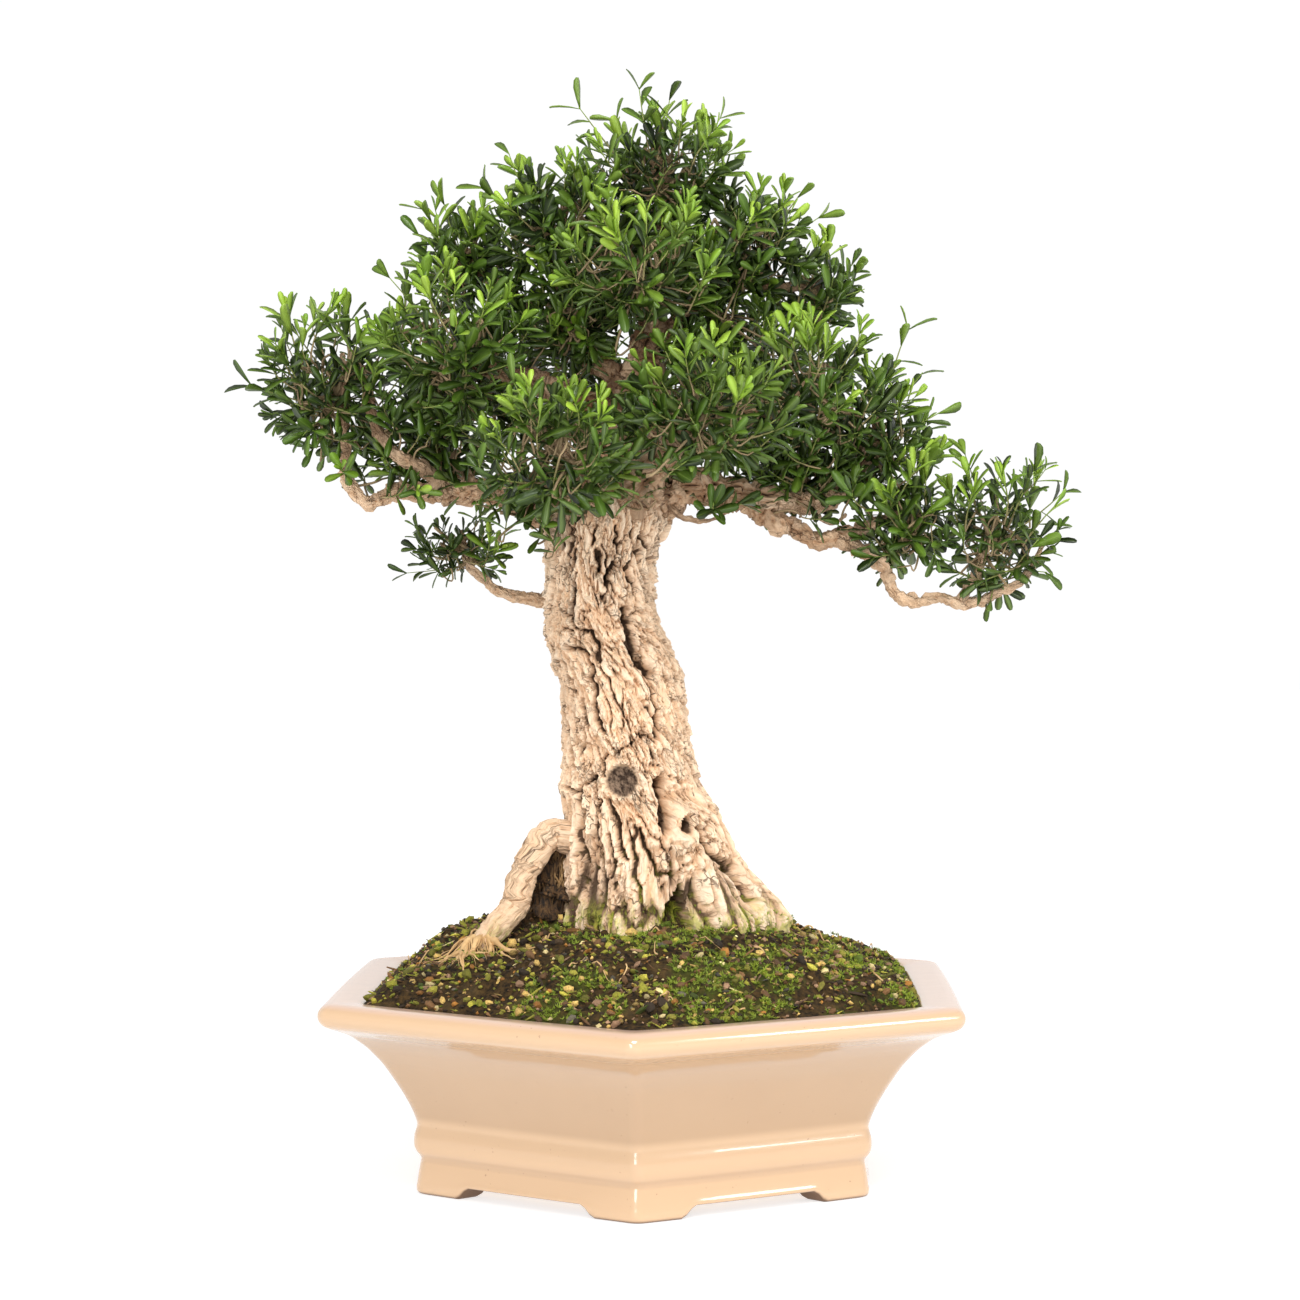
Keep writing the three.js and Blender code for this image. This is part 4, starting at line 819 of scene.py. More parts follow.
# Each limb is a list of x, y, z and radius, and so is the root wad.
ARCHED_ROOT = [
    (-26, -6, 193, 9.5), (-30, -8, 195, 9.8), (-44, -14, 199, 9.4), (-57, -20, 199, 9),
    (-66, -27, 190, 8.6), (-71, -33, 178, 8.3), (-77, -38, 165, 8.2), (-85, -43, 153, 7.8),
    (-93, -47, 141, 6.8), (-101, -51, 126, 4.5)]
ROOT_WAD = [
    (-38, 0, 196, 8), (-46, -2, 190, 11), (-51, -4, 178, 14), (-54, -6, 164, 17),
    (-57, -7, 148, 20), (-58, -8, 130, 18)]
BOUGHS = {
    "leader": [
        (-26, -2, 385, 27), (-20, 2, 415, 23), (-8, 6, 445, 17), (-3, 4, 475, 13.5),
        (3, 0, 505, 10.5), (9, 0, 540, 8), (10, 0, 572, 6), (8, 0, 602, 4.5), (8, 0, 622, 1.6)],
    "left": [
        (-36, -4, 384, 20), (-66, -8, 397, 14), (-90, -10, 404, 10.5), (-108, -8, 402, 9),
        (-127, -8, 403, 8), (-148, -6, 404, 7), (-158, -5, 399, 6), (-168, -4, 401, 5.6),
        (-177, -2, 416, 5), (-180, -2, 436, 4.4), (-178, 0, 462, 3.4), (-182, 1, 485, 1.5)],
    "left_rising": [
        (-118, -8, 403, 6.5), (-131, -16, 416, 6), (-147, -18, 429, 5.4), (-160, -14, 445, 4.4),
        (-166, -8, 464, 3.4), (-168, -4, 482, 1.5)],
    "left_inner": [
        (-100, -9, 404, 6.5), (-110, 0, 416, 5), (-120, 8, 432, 4), (-126, 12, 446, 1.6)],
    "left_high": [
        (-12, 4, 440, 13), (-40, 0, 458, 10), (-75, -18, 470, 8), (-102, -35, 482, 5.5),
        (-112, -44, 498, 1.8)],
    "left_low": [
        (-42, 6, 342, 10), (-62, 16, 340, 6), (-77, 25, 341, 5), (-93, 33, 347, 4.2),
        (-104, 38, 356, 3.6), (-110, 42, 368, 3), (-114, 45, 382, 1.5)],
    "dead_twig": [
        (12, -10, 398, 3), (20, -12, 389, 2.6), (34, -13, 387, 2), (44, -13, 391, 1.5),
        (54, -12, 397, 0.9)],
    "dead_fork": [(30, -13, 387, 1.8), (38, -16, 394, 1.4), (42, -18, 402, 0.9)],
    "dead_spur": [
        (100, -12, 392, 2.2), (105, -14, 386, 1.8), (112, -14, 384, 1.2), (117, -15, 390, 0.8)],
    "left_shoulder": [
        (-28, 2, 484, 8), (-55, 8, 505, 6.5), (-82, 16, 525, 5.2), (-104, 23, 543, 4),
        (-112, 26, 556, 1.4)],
    "rising": [
        (-6, 4, 458, 11), (-28, 2, 483, 9), (-44, -2, 508, 7), (-50, -8, 538, 5.4),
        (-50, -10, 562, 4), (-49, -10, 582, 1.5)],
    "middle": [(-34, 0, 489, 7), (-40, -8, 500, 5.5), (-44, -13, 508, 4), (-46, -16, 516, 1.6)],
    "right": [
        (-16, -4, 390, 19), (8, -6, 404, 14.5), (35, -8, 406, 12), (60, -10, 402, 11),
        (83, -10, 398.5, 9.5), (104, -8, 399, 8.2), (122, -4, 411, 6.5), (134, 0, 432, 4.6),
        (137, 2, 450, 1.8)],
    "right_low": [
        (56, -10, 400, 9), (72, -12, 389, 8.5), (90, -14, 379, 8), (104, -14, 374, 7.5),
        (120, -14, 379, 6.5), (131, -14, 384, 5.5), (146, -14, 389, 4), (156, -14, 397, 1.6)],
    "cascade": [
        (112, -14, 376, 6.6), (126, -12, 369, 6), (140, -10, 356, 5.6), (150, -9, 344, 5.4),
        (158, -8, 338.5, 5), (173, -8, 342, 4.7), (188, -8, 338.5, 4.4), (203, -8, 340, 4),
        (219, -9, 348, 3.4), (228, -10, 358, 2.8), (232, -10, 370, 1.3)],
    "cascade_rise": [
        (186, -8, 340, 4.2), (194, -9, 354, 3.8), (202, -10, 372, 3.2), (206, -10, 390, 1.4)],
    "right_rise": [(84, -10, 399, 6), (89, -7, 408, 5), (91, -5, 416, 4), (92, -3, 428, 1.6)],
    "right_middle": [
        (-2, 0, 455, 12), (30, -8, 455, 9.5), (62, -18, 453, 7.5), (86, -27, 458, 5.2),
        (96, -31, 468, 1.8)],
    "right_high": [
        (3, 2, 495, 8.5), (24, 4, 512, 7), (44, 4, 530, 5.6), (52, 2, 548, 4.2),
        (54, 0, 564, 1.6)],
    "right_shoulder": [
        (40, 5, 527, 5), (70, 16, 529, 4.4), (94, 26, 530, 3.6), (106, 31, 536, 1.4)],
    "front_left": [
        (-30, -14, 392, 17), (-38, -40, 402, 12.5), (-46, -68, 413, 9), (-50, -88, 424, 6),
        (-52, -98, 436, 2)],
    "front_right": [
        (-15, -14, 395, 16), (0, -38, 412, 12), (15, -60, 428, 9), (27, -78, 441, 6),
        (31, -88, 453, 2)],
    "crown_front": [(4, 0, 500, 8), (1, -24, 514, 6.6), (-3, -48, 529, 4.8), (-4, -60, 542, 1.8)],
    "crown_back": [(4, 2, 505, 7.5), (1, 26, 520, 6.2), (-3, 54, 539, 4.6), (-4, 70, 554, 1.8)],
    "back": [
        (-18, 8, 412, 16), (-18, 44, 425, 12), (-18, 80, 443, 9), (-17, 110, 458, 6),
        (-17, 126, 472, 2)],
    "back_left": [
        (-18, 48, 427, 9), (-45, 68, 445, 7.4), (-72, 84, 461, 5.8), (-91, 92, 473, 4.4),
        (-99, 95, 486, 1.5)],
    "back_right": [
        (-17, 36, 424, 9), (10, 58, 444, 7.6), (38, 78, 464, 6), (62, 91, 478, 4.4),
        (71, 95, 490, 1.5)],
}


def unit(vectors):
    """Vectors drawn to length one."""
    return vectors / np.maximum(np.linalg.norm(vectors, axis=-1, keepdims=True), 1e-9)


def sleeve(centres, radii, columns):
    """Rings round lines of centres: each point is its centre plus a radius times cosine and sine of
    its angle along two directions square to the line. Centres end in rings, x y z."""
    ahead = unit(np.gradient(centres, axis=-2))
    overall = unit(centres[..., -1:, :] - centres[..., :1, :])
    aside = np.where(np.abs(overall[..., 2:]) > 0.75, [0.0, 1.0, 0.0], [0.0, 0.0, 1.0])
    first = unit(np.cross(ahead, np.cross(aside, ahead)))
    second = np.cross(ahead, first)
    angles = all_round(columns)[:, None]
    round_about = first[..., None, :] * np.cos(angles) + second[..., None, :] * np.sin(angles)
    radii = radii[..., None, None] if radii.ndim < centres.ndim else radii[..., None]
    return centres[..., None, :] + round_about * radii, round_about


def limb(stations, columns, step, seed, coarse=1.0, stretch=2.2):
    """A barked limb through stations of x, y, z and radius, with its grain coordinates, crack depth
    and tone; the crack depth also carries painted shade in the hollows between knobs. Knobs are slow
    noise along it, and relief fades as it gets thin."""
    stations = np.array(stations, float)
    ways = line_length(stations[:, :3])
    at = np.linspace(0, ways[-1], int(ways[-1] / step) + 2)
    run = curve_through(ways, stations, at)
    centres, radius = run[:, :3], np.maximum(run[:, 3], 0.7)
    crook = xyz(*(rough(xyz(at / 17, 0, seed), 3, seed + axis) for axis in range(3)))
    centres = centres + crook * smooth(at, 0, 30)[:, None] * 2.0
    rings, away = sleeve(centres, radius, columns)
    angle = np.broadcast_to(all_round(columns), away.shape[:2])
    size = np.maximum(radius, 4)[:, None]
    grain = polar(angle, size, at[:, None])
    ridges = int(np.clip(radius.max() * 0.55, 3, 12))
    height, depth, tone = bark(grain * [1.3, 1.3, stretch], angle, ridges, seed)
    stout = np.clip(radius / 11, 0.2, 0.75)[:, None] * coarse
    around = polar(angle, 1.8, at[:, None] / 4.6)
    knobs = 0.38 * radius[:, None] * rough(around, 3, seed + 50)
    ring_scars = 0.09 * radius[:, None] * ripple(around * [0.3, 0.3, 2.4], seed + 60)
    rings = rings + away * (height * stout + knobs * coarse + ring_scars)[..., None]
    # Painted shade: the hollows between the knobs darken the crack mark.
    hollow = smooth(smeared(knobs, 1, 2) - knobs, 0.05, 0.7)
    depth = np.clip(depth * (0.4 + 0.5 * coarse) + 0.35 * hollow, 0, 1)
    depth = depth * smooth(radius, 1.0, 8)[:, None] ** 0.5
    grain = (grain * [1, 1, stretch / 2.2] + seed * 37.0).reshape(-1, 3)
    return *skin(turned(rings)[None]), {"grain": grain, "depth": depth.ravel(), "tone": tone.ravel()}


def merged(parts):
    """Skins that each carry a dictionary of marks, as one skin with its marks end to end."""
    points, faces, marks = zip(*parts)
    first = np.cumsum([0] + [len(own) for own in points])
    faces = [np.concatenate([own + start for own, start in zip(kind, first)]) for kind in zip(*faces)]
    return np.concatenate(points), faces, {
        mark: np.concatenate([own[mark] for own in marks]) for mark in marks[0]}


def slimmed(stations):
    """Stations of a bough under its leaves: thin wood a third slimmer, stout wood as it was."""
    stations = np.array(stations, float)
    stations[:, 3] *= 0.64 + 0.36 * smooth(stations[:, 3], 8, 20)
    return stations


limbs = [limb(ARCHED_ROOT, 60, 1.2, 1, 0.24, 0.7)]
for number, stations in enumerate(BOUGHS.values()):
    columns = int(np.clip(stations[0][3] * 1.9, 9, 38))
    limbs.append(limb(slimmed(stations), columns, 1.7, number + 2))
points, faces, marks = merged(limbs)
level = points[:, 2]
worn = 0.25 + 0.45 * smooth(level, 300, 380) + 0.3 * smooth(level, 420, 460)
marks |= {"tone": marks["tone"] * 0.6, "cut": 0 * level, "damp": 0.8 * smooth(level, 160, 142),
          "weather_and_shade": np.clip(worn, 0, 1)}
boughs = piece("boughs", points, faces, bark_finish, soft=False, **marks)


# The root wad: the old root ball behind the arched root, a dark spongy mass of soil and matted
# fibres, with hair roots hanging down over it.

points, faces, _ = limb(ROOT_WAD, 64, 1.6, 91, 1.5)
peat = Finish("matted_root_ball")
spot = peat.place()
mat = peat.noise(peat.vector("MULTIPLY", spot, (1, 1, 0.22)), 2.0, 5, 0.68)
brown = peat.mix(peat.band(mat, 0.35, 0.68), (0.09, 0.06, 0.03), (0.44, 0.32, 0.19))
wad = piece("root_wad", points, faces, peat.finished(
    Base_Color=brown, Roughness=0.95, relief=mat, depth=2.5))

chance = np.random.default_rng(77)
count, knots = 170, 9
heading = chance.uniform(-3.3, 0.3, count)
high = chance.uniform(160, 200, count)
out = np.interp(high, [150, 164, 178, 190, 200], [21, 17, 15, 12, 9])
top = np.column_stack([-49 - 0.2 * (190 - high) + out * np.cos(heading),
                       -4 + out * np.sin(heading), high])
share = np.linspace(0, 1, knots)
fall = chance.uniform(12, 42, (count, 1))
sway = np.cumsum(chance.normal(0, 0.9, (count, knots, 2)), axis=1)
sway = sway + (0.10 * fall * share)[..., None] * (polar(heading, 1) - 0.3)[:, None]
lines = top[:, None] + np.concatenate([sway, (-fall * share)[..., None]], axis=-1)
rings, _ = sleeve(lines, chance.uniform(0.22, 0.6, count)[:, None] * (1.1 - share), 4)
fibre_finish = Finish("dark_root_fibres")
own = fibre_finish.noise(fibre_finish.place(), 9, 2)
tan = fibre_finish.mix(fibre_finish.band(own, 0.35, 0.7), (0.26, 0.18, 0.10), (0.66, 0.52, 0.34))
fibres = piece("root_fibres", *skin(turned(rings)),
               fibre_finish.finished(Base_Color=tan, Roughness=0.85))


# The fine roots: hair roots and rootlets the colour of straw, fanned out from the foot of the arched
# root and lying loose over the soil.

chance = np.random.default_rng(71)
stout_roots, near_hairs, loose_hairs, knots = 8, 46, 60, 14
count = stout_roots + near_hairs + loose_hairs
kind = np.repeat([0, 1, 2], [stout_roots, near_hairs, loose_hairs])
share = np.linspace(0, 1, knots)
near_foot = [-95, -48] + chance.normal(0, 3.5, (count, 2))
start = np.where(kind[:, None] < 2, near_foot, strewn(count, 72)[0])
fanned = np.concatenate([np.linspace(-2.6, -0.7, stout_roots), chance.normal(-1.8, 0.9, near_hairs),
                         chance.uniform(-np.pi, np.pi, loose_hairs)])
way = fanned[:, None] + np.cumsum(chance.normal(0, 0.24, (count, knots)), axis=1)
reach = np.choose(kind, [chance.uniform(*ends, count) for ends in ((24, 46), (12, 40), (8, 26))])
flat = start[:, None] + np.cumsum(polar(way, (reach / knots)[:, None]), axis=1)
inside = np.minimum(1, 0.97 / np.maximum(soil_share(flat[..., 0], flat[..., 1]), 0.01))
flat = flat * inside[..., None]
arch = np.choose(kind, [7.0, 9.0, 1.2])[:, None] * (1 - share) ** 2
lift = arch + chance.uniform(0.2, 1.8, (count, 1)) * np.sin(share * 9)
level = soil_height(flat[..., 0], flat[..., 1]) + np.maximum(lift, 0) + 0.8
thick = [chance.uniform(*ends, count) for ends in ((1.6, 2.6), (0.25, 0.6), (0.25, 0.55))]
thick = np.choose(kind, thick)
swollen = 1 + 0.2 * rough(xyz(share * 9, way, kind[:, None]), 1, 5)
radii = thick[:, None] * (1.12 - share) * swollen
rings, _ = sleeve(np.concatenate([flat, level[..., None]], axis=-1), radii, 6)
straw = Finish("straw_rootlets")
pale = straw.mix(straw.noise(straw.place(), 6, 2), (0.62, 0.46, 0.28), (0.93, 0.79, 0.57))
rootlets = piece("rootlets", *skin(rings), straw.finished(Base_Color=pale, Roughness=0.8))


# The leafy sprays: twigs that fork from the ends of the boughs, each shoot set with pairs of small
# spoon-shaped leaves, every pair a quarter turn from the last. Old leaves are dark and glossy, and
# the newest at the shoot tips are a bright yellow green. Leaves deep in the crown are painted darker
# still, as painted shade.

# Each spray's middle x, y, z and its half sizes.
SPRAYS = {
    "apex": (8, 0, 600, 50, 44, 34), "apex_left": (-49, -10, 568, 50, 42, 36),
    "apex_right": (53, 0, 556, 54, 44, 37), "crown_front": (-4, -60, 538, 50, 38, 36),
    "crown_back": (-4, 70, 551, 52, 40, 38), "left_shoulder": (-110, 25, 553, 36, 34, 30),
    "right_shoulder": (102, 30, 532, 34, 32, 27), "left_outer": (-185, 0, 474, 48, 46, 51),
    "left_front": (-111, -45, 490, 48, 40, 46), "left_inner": (-126, 14, 437, 42, 32, 28),
    "middle": (-45, -16, 508, 38, 30, 32), "front_left": (-51, -95, 430, 48, 42, 43),
    "front_right": (32, -85, 453, 48, 42, 41), "right_middle": (92, -30, 464, 52, 46, 43),
    "right_inner": (92, -2, 421, 42, 36, 24), "right_outer": (136, 2, 442, 38, 40, 38),
    "cascade_inner": (154, -14, 389, 36, 34, 38), "cascade_outer": (205, -10, 384, 43, 38, 43),
    "left_low": (-114, 45, 378, 36, 30, 26), "back_left": (-99, 95, 482, 50, 45, 45),
    "back_right": (71, 95, 486, 52, 46, 45), "back": (-17, 125, 468, 52, 42, 45),
}
# Tips of the long shoots that stand out past a spray.
STRAYS = {
    "apex": [(-5, -8, 646), (14, -12, 639), (46, -4, 629), (-42, -6, 634), (-20, 12, 630)],
    "apex_left": [(-83, -10, 607), (-98, -8, 586)], "apex_right": [(98, -4, 590), (106, 4, 570)],
    "left_shoulder": [(-138, 22, 579), (-123, 20, 582), (-141, 24, 562)],
    "right_shoulder": [(128, 26, 541), (134, 20, 528)],
    "left_outer": [(-238, -4, 468), (-226, 8, 452), (-214, -10, 508)],
    "right_outer": [(156, -6, 504), (177, -4, 453), (166, 2, 478)],
    "left_low": [(-151, 42, 356), (-145, 50, 372)],
    "cascade_outer": [
        (249, -12, 406), (240, -10, 356), (203, -12, 336), (232, -8, 420), (187, -10, 430)],
    "cascade_inner": [(142, -16, 428)], "left_front": [(-150, -60, 528)],
    "right_middle": [(128, -44, 500)],
    "front_left": [(-74, -132, 462)], "front_right": [(44, -122, 482)],
    "back": [(-30, 168, 500), (20, 160, 496)],
    "back_left": [(-146, 112, 512), (-128, 134, 500)], "back_right": [(118, 118, 516), (104, 138, 500)],
    "crown_back": [(-20, 112, 578), (16, 108, 572)],
}
SPARSE = {"left_low": 1.15, "cascade_outer": 1.2, "cascade_inner": 1.1}
VIGOUR = {"left_low": 0.74}
BLADE_STATIONS = [0, 0.33, 0.68, 0.9, 1]
BLADE_WIDTHS = [0.14, 0.6, 1.0, 0.85, 0.38]
LEAF_LENGTH = 17.8
SHOOT_AREA = 458
PAIRS = 5


def blades(roots, ahead, above, length, width, droop):
    """Leaves as closed blades: along each midrib the width follows the stations, the edges are lifted
    into a shallow trough, and the midrib sinks by droop times the square of the way along."""
    side = np.cross(above, ahead)
    t = np.array(BLADE_STATIONS)[None, :, None]
    half = 0.5 * width[:, None, None] * np.array(BLADE_WIDTHS)[None, :, None]
    notch = np.where(t == 1, 0.97, t)
    along = ahead[:, None] * length[:, None, None]
    sink = above[:, None] * (length * droop)[:, None, None] * -(t**2)
    middle = roots[:, None] + along * notch + sink
    edge = roots[:, None] + along * t + sink + above[:, None] * half * 0.34
    thick = above[:, None] * 0.24
    across = side[:, None] * half
    return np.stack([edge + across, middle + thick, edge - across, middle - thick], axis=2)


def stems(lines, radii, sides, green):
    """Twigs along lines, with marks that say they are stalk and how green they are."""
    rings, _ = sleeve(lines, np.broadcast_to(radii, lines.shape[:2]), sides)
    points, faces = skin(turned(rings))
    green = np.tile(np.repeat(green, sides), len(lines))
    none = 0 * green
    return points, faces, {
        "youth": green, "own": none + 0.5, "rib": none, "back": none, "stalk": none + 1}


def shoots(tip, axis, heels, spacing, vigour, fresh, loose, chance):
    """Shoots that end at given tips. Each is a twig, bent up from its heel, that bears crossed pairs
    of leaves: they open wider down the shoot, as 22 degrees plus 11 a pair. Where loose is 1 the
    leaves are few and full grown, and where fresh is below 0 their leaves are painted darker, as
    painted shade."""
    count = len(tip)
    tip = tip - axis * 3.0
    reach = spacing * PAIRS
    start = tip - axis * reach[:, None]
    pair = np.arange(PAIRS)[None, :, None]
    hand = np.array([0, 1])[None, None, :]
    shape = (count, PAIRS, 2)
    low = (PAIRS - 1 - pair) + np.zeros(shape)
    first = unit(np.cross(axis, chance.normal(0, 1, (count, 3))))
    second = np.cross(axis, first)
    turn = np.pi * hand + np.pi / 2 * pair + chance.normal(0, 0.25, shape)
    turn = turn[..., None]
    spoke = first[:, None, None] * np.cos(turn) + second[:, None, None] * np.sin(turn)
    loose = loose[:, None, None]
    open_angle = np.radians(22 + 11 * low + 14 * loose + chance.normal(0, 9, shape))
    stem_axis = axis[:, None, None]
    ahead = unit(stem_axis * np.cos(open_angle)[..., None] + spoke * np.sin(open_angle)[..., None])
    above = unit(stem_axis - ahead * (stem_axis * ahead).sum(axis=-1, keepdims=True)
                 + chance.normal(0, 0.2, shape + (3,)))
    above = unit(above - ahead * (above * ahead).sum(axis=-1, keepdims=True))
    size = np.maximum(np.interp(low, [0, 1, 2, 4], [0.62, 0.9, 1.0, 0.94]), 0.95 * loose)
    size = size * chance.uniform(0.82, 1.14, shape)
    length = LEAF_LENGTH * size * vigour[:, None, None]
    width = length * (chance.uniform(0.25, 0.34, shape) + 0.03 * (low < 1.5))
    bend = xyz(chance.normal(0, 1.6, count), chance.normal(0, 1.6, count),
               -chance.uniform(0, 1.5, count))
    where = 1 - (low + 0.15) / PAIRS
    root = start[:, None, None] + stem_axis * (where * reach[:, None, None])[..., None]
    root = root + bend[:, None, None] * (np.sin(np.pi * where))[..., None]
    kept = (chance.uniform(0, 1, shape) > 0.05 + 0.07 * low + 0.3 * loose).ravel()
    youth = np.clip(fresh[:, None, None] * np.interp(low, [0, 1, 2, 3], [1.2, 1.0, 0.6, 0.15])
                    + chance.normal(0, 0.07, shape), 0, 1).ravel()[kept]
    # Painted shade: each leaf's own tone is lowered where fresh is below 0, on shoots deep in the
    # crown.
    own = (chance.uniform(0, 1, shape) * (1 + 0.8 * np.minimum(fresh, 0))[:, None, None]).ravel()[kept]
    leaves = blades(root.reshape(-1, 3)[kept], ahead.reshape(-1, 3)[kept], above.reshape(-1, 3)[kept],
                    length.ravel()[kept], width.ravel()[kept], chance.uniform(0.02, 0.22, kept.sum()))
    per_leaf = 4 * len(BLADE_STATIONS)
    rings = len(leaves) * len(BLADE_STATIONS)
    marks = {"youth": np.repeat(youth, per_leaf), "own": np.repeat(own, per_leaf),
             "rib": np.tile([0.0, 1.0, 0.0, 1.0], rings), "back": np.tile([0.0, 0.0, 0.0, 1.0], rings),
             "stalk": np.zeros(len(leaves) * per_leaf)}

    share = np.linspace(0, 1, 7)[:, None]
    knee = start - axis * 6
    heel_share, knee_share = (1 - share) ** 2, 2 * share * (1 - share)
    inside = heel_share * heels[:, None] + knee_share * knee[:, None] + share**2 * start[:, None]
    inside = inside + np.sin(np.pi * share) * chance.normal(0, 2.6, (count, 1, 3))
    risen = np.linspace(0.2, 1, 4)[:, None]
    upward = start[:, None] + axis[:, None] * (risen * reach[:, None, None])
    upward = upward + bend[:, None] * np.sin(np.pi * risen)
    radii = np.concatenate([np.linspace(0.8, 0.56, 7), np.linspace(0.54, 0.28, 4)]) * vigour[:, None]
    green = np.concatenate([np.zeros(7), np.linspace(0.15, 1, 4)])
    twigs = np.concatenate([inside, upward], axis=1)
    return [(*skin(turned(leaves)), marks), stems(twigs, radii, 4, green)]


def leafy_spray(name, spray, seed):
    """The leaves and twigs of one spray. Shoots start inside a lumpy ellipsoid, on even headings by
    the golden angle, and lean up and outwards to its skin, and a few long ones stand out of it."""
    chance = np.random.default_rng(900 + seed)
    centre, half = np.array(spray[:3], float), np.array(spray[3:], float)
    area = 4 * np.pi * np.prod(half) ** (2 / 3)
    count = int(area / SHOOT_AREA / SPARSE.get(name, 1))
    index = np.arange(count)
    high = 1 - (2 * index + 1) / count
    angle = np.pi * (3 - 5**0.5) * index + seed
    flat = np.sqrt(1 - high**2)
    out = unit(polar(angle, flat, high) + chance.normal(0, 0.18, (count, 3)))
    lumps = 0.97 + 0.13 * ripple(out * 1.9 + seed * 5.1, seed) + chance.normal(0, 0.07, count)
    inner = chance.uniform(0, 1, count) < 0.2
    tip = centre + out * half * np.where(inner, chance.uniform(0.45, 0.75, count), lumps)[:, None]
    climb = 0.4 * np.maximum(out[:, 2], -0.4) + 0.68 * smooth(out[:, 2], -0.9, 0.1)
    axis = unit(np.column_stack([0.75 * out[:, :2], climb]) + chance.normal(0, 0.17, (count, 3)))
    strays = np.array(STRAYS.get(name, np.zeros((0, 3))), float).reshape(-1, 3)
    stray_out = unit((strays - centre) / half)
    tip, out = np.concatenate([tip, strays]), np.concatenate([out, stray_out])
    axis = np.concatenate([axis, unit(stray_out * [0.8, 0.8, 0.6] + [0, 0, 0.3])])
    stray = np.arange(len(tip)) >= count
    vigour = np.where(stray, 1.0, chance.uniform(0.78, 1.18, len(tip)))
    vigour = vigour * VIGOUR.get(name, 1)
    spacing = np.where(stray, 9.0, 5.5 * vigour)
    fresh = smooth(out[:, 2] + chance.normal(0, 0.45, len(tip)), -0.05, 0.6)
    # Painted shade: shoots inside the spray, and those buried in a neighbouring spray, get fresh below
    # 0, which paints their leaves darker.
    fresh[:count][inner] = -0.6
    fresh[stray] *= 0.35
    others = np.array([other for other_name, other in SPRAYS.items() if other_name != name], float)
    buried = np.linalg.norm((tip[:, None] - others[:, :3]) / others[:, 3:], axis=-1).min(axis=1)
    fresh = np.where(buried < 0.95, -smooth(buried, 0.95, 0.65), fresh)
    kept = (buried > 0.52) | stray
    tip, axis, vigour, spacing, fresh, stray = (
        own[kept] for own in (tip, axis, vigour, spacing, fresh, stray))

    arm_count, share = 9, np.linspace(0, 1, 8)
    bough_end = centre + [0, 0, -0.25 * half[2]]
    forks = centre + chance.uniform(-0.45, 0.45, (arm_count, 3)) * half - [0, 0, 0.1 * half[2]]
    start = tip - axis * (spacing * PAIRS)[:, None]
    heels = forks[np.argmin(np.linalg.norm(start[:, None] - forks[None], axis=-1), axis=1)]
    arms = bough_end + (forks - bough_end)[:, None] * share[:, None]
    arms = arms + np.sin(np.pi * share)[:, None] * chance.normal(0, 2.5, (arm_count, 1, 3))
    parts = shoots(tip, axis, heels, spacing, vigour, fresh, 1.0 * stray, chance)
    points, faces, marks = merged(parts + [stems(arms, np.linspace(1.8, 0.9, 8), 5, 0 * share)])
    made = piece(f"spray_{name}", points, faces, leaf_finish, **marks)
    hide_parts(f"foliage_{name}")


leaf = Finish("boxwood_leaf")
youth, own, stalk = leaf.mark("youth"), leaf.mark("own"), leaf.mark("stalk")
old = leaf.mix(own, (0.065, 0.11, 0.022), (0.31, 0.43, 0.12))
new = leaf.mix(own, (0.42, 0.57, 0.13), (0.64, 0.76, 0.26))
green = leaf.mix(youth, old, new)
rib = leaf.mix(0.5, green, (0.60, 0.70, 0.32))
green = leaf.coats(green, (leaf.band(leaf.mark("rib"), 0.86, 0.98) * 0.3, rib),
                   (leaf.mark("back") * 0.45, (0.44, 0.52, 0.27)))
twig = leaf.mix(leaf.noise(leaf.place(), 4, 2), (0.36, 0.29, 0.20), (0.70, 0.61, 0.46))
twig = leaf.mix(youth, twig, (0.46, 0.56, 0.22))
leaf_finish = leaf.finished(Base_Color=leaf.mix(stalk, green, twig), Roughness=0.38 + 0.35 * stalk,
                            Specular_IOR_Level=0.42)
for number, (name, spray) in enumerate(SPRAYS.items()):
    leafy_spray(name, spray, number + 1)


# The bough shoots: short leafy shoots straight from the older wood, along every bough between the
# sprays, in rosettes over the fork of the trunk, and in three gaps beside the leader.

ROSETTES = [
    (-75, -34, 396), (-66, -40, 404), (-78, -30, 408), (-56, -44, 401), (-38, -46, 410),
    (-18, -48, 408), (-88, -30, 402), (-64, -30, 388), (2, -46, 416)]
GAPS = [(38, 8, 497), (57, 6, 518), (-69, 2, 526)]
GAP_HEELS = [(24, 4, 503), (40, 4, 512), (-62, 8, 508)]
GAP_SHOOTS = [18, 14, 12]
chance = np.random.default_rng(55)
heels = []
for stations in BOUGHS.values():
    stations = np.array(stations, float)
    thin = stations[:, 3] < 14
    if thin.sum() > 2:
        run = line_length(stations[thin, :3])
        picks = chance.uniform(0, 0.9 * run[-1], int(run[-1] / 20) + 2)
        heels.append(curve_through(run, stations[thin, :3], picks))
heels = np.concatenate(heels)
heels = heels[heels[:, 2] > 384]
axis = unit(chance.normal(0, 1, (len(heels), 3)) * [0.75, 0.75, 0.35] + [0, -0.2, 0.6])
tip = heels + axis * chance.uniform(26, 44, (len(heels), 1))
rosettes = np.repeat(np.array(ROSETTES, float), 2, axis=0)
rosettes = rosettes + chance.normal(0, 3.5, rosettes.shape)
gap = np.repeat(GAPS, GAP_SHOOTS, axis=0)
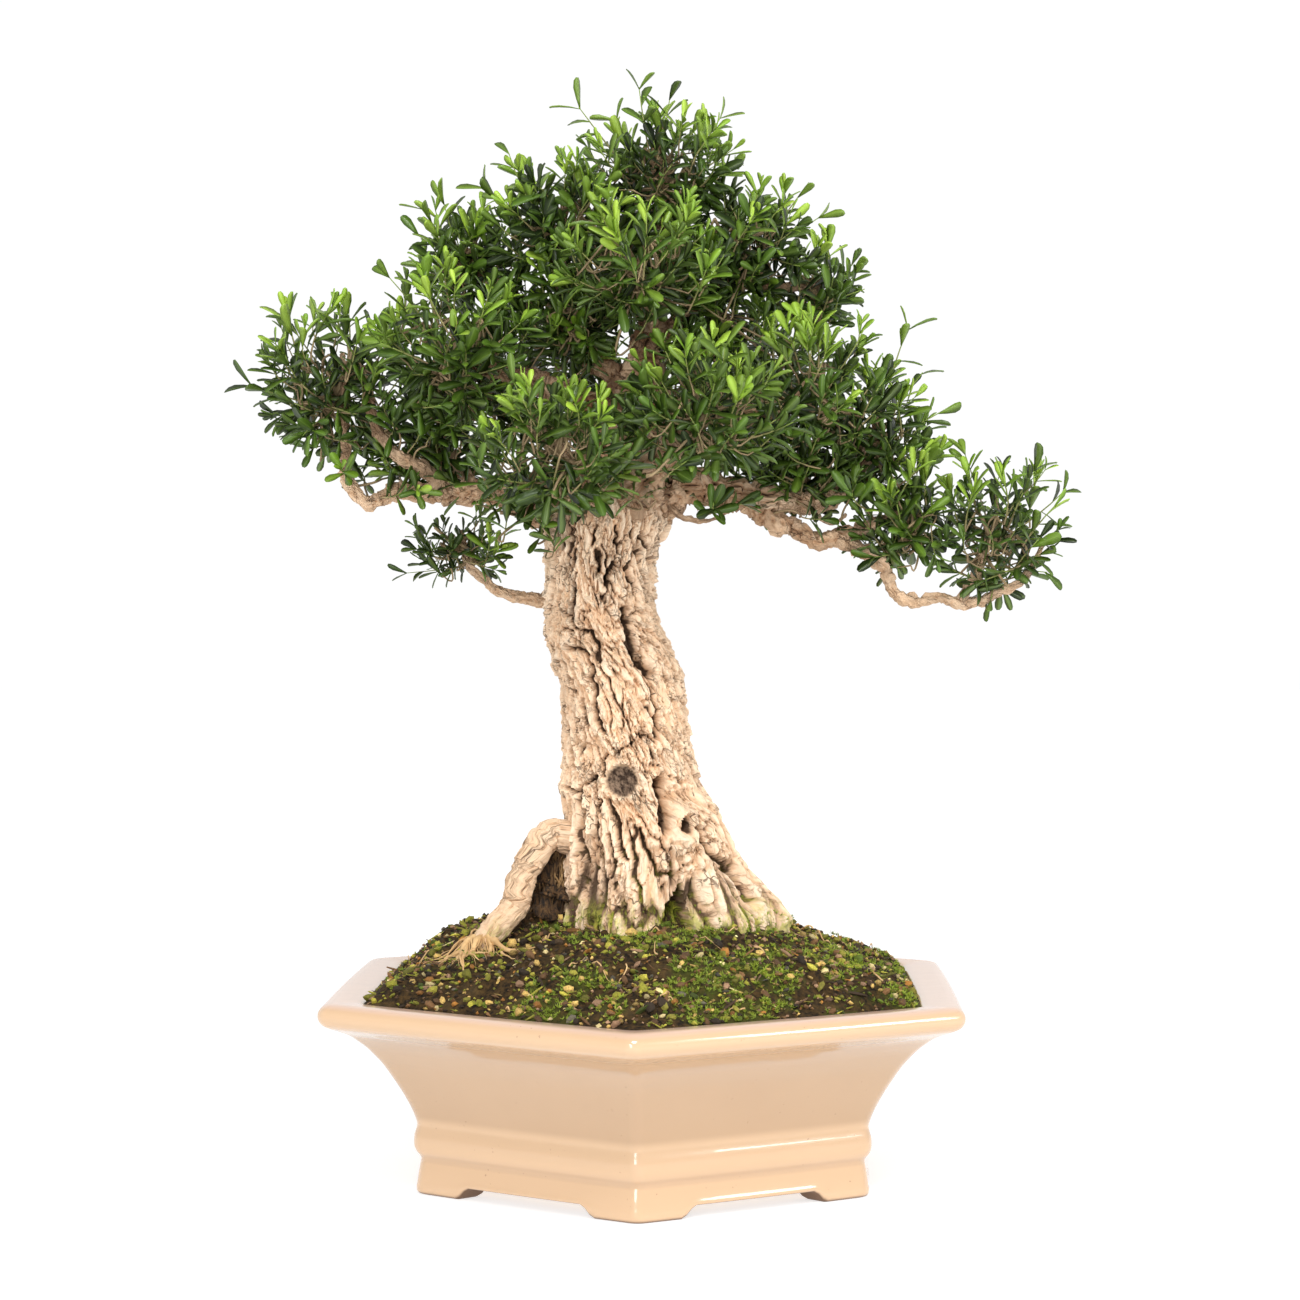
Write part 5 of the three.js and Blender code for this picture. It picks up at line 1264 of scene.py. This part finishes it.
gap = gap + chance.uniform(-1, 1, gap.shape) * [18, 20, 14]
tip = np.concatenate([tip, rosettes, gap])
axis = np.concatenate([axis, unit(chance.normal(0, 0.5, rosettes.shape) + [0, -0.6, 0.15]),
                       unit(chance.normal(0, 0.3, gap.shape) + [0.2, -0.3, 0.75])])
heels = np.concatenate([heels, rosettes * [0.92, 0.4, 1] - [0, 0, 10],
                        np.repeat(GAP_HEELS, GAP_SHOOTS, axis=0)])
count = len(heels)
vigour = chance.uniform(0.8, 1.12, count)
fresh = 0.7 * (chance.uniform(0, 1, count) < 0.22)
points, faces, marks = merged(shoots(tip, axis, heels, 4.0 * vigour, vigour, fresh, 0 * vigour, chance))
bough_shoots = piece("bough_shoots", points, faces, leaf_finish, **marks)


# The studio: a wide pale floor under even white light, with soft boxes high at the right, high in
# front and low in front, and the camera at the photograph's place.

floor_points = np.array([(-9000, -9000, 0), (9000, -9000, 0), (9000, 9000, 0), (-9000, 9000, 0)], float)
backdrop = Finish("pale_floor")
floor = piece("floor", floor_points, [np.array([(0, 1, 2, 3)])],
              backdrop.finished(Base_Color=(0.55, 0.55, 0.555, 1.0), Roughness=0.9,
                                Emission_Color=(1, 1, 1, 1), Emission_Strength=0.66))
floor.parent = None

world = bpy.data.worlds.new("white_studio")
bpy.context.scene.world = world
world.use_nodes = True
sky = world.node_tree.nodes
ramp = sky.new("ShaderNodeMapRange")
ramp.interpolation_type = "SMOOTHSTEP"
for socket, value in {"From Min": 0.35, "From Max": 0.85, "To Min": 1.02, "To Max": 0.42}.items():
    ramp.inputs[socket].default_value = value
upward = sky.new("ShaderNodeSeparateXYZ")
for start, end in ((sky.new("ShaderNodeTexCoord").outputs["Generated"], upward.inputs[0]),
                   (upward.outputs[2], ramp.inputs["Value"]),
                   (ramp.outputs[0], sky["Background"].inputs["Strength"])):
    world.node_tree.links.new(start, end)
sky["Background"].inputs["Color"].default_value = (1, 1, 1, 1)


def softbox(name, place, target, width, height, power):
    """A rectangular lamp that faces a point, all in metres and watts."""
    lamp = bpy.data.lights.new(name, "AREA")
    lamp.shape, lamp.size, lamp.size_y, lamp.energy = "RECTANGLE", width, height, power
    made = bpy.data.objects.new(name, lamp)
    made.location = place
    made.rotation_euler = (Vector(target) - Vector(place)).to_track_quat("-Z", "Y").to_euler()
    bpy.context.scene.collection.objects.link(made)


softbox("right_strip", (1.58, -0.80, 0.76), (0, 0, 0.12), 0.46, 0.5, 8)
softbox("left_front_box", (-0.55, -2.1, 1.15), (0, 0, 0.28), 0.26, 0.26, 9)
softbox("low_front_box", (-0.4, -1.9, 0.5), (0, 0, 0.36), 0.5, 0.5, 6)
softbox("top_box", (0.25, -1.3, 1.9), (0, 0, 0.3), 0.8, 0.8, 27)

camera = bpy.data.objects.new("camera", bpy.data.cameras.new("camera"))
camera.data.lens = 76.1
camera.data.sensor_width = 36
camera.location = (0.0578, -1.6360, 0.3379)
camera.rotation_euler = (np.radians(90 - 0.969), 0, TREE_TURN)
bpy.context.scene.collection.objects.link(camera)
bpy.context.scene.camera = camera
bpy.context.scene.view_settings.view_transform = "Standard"
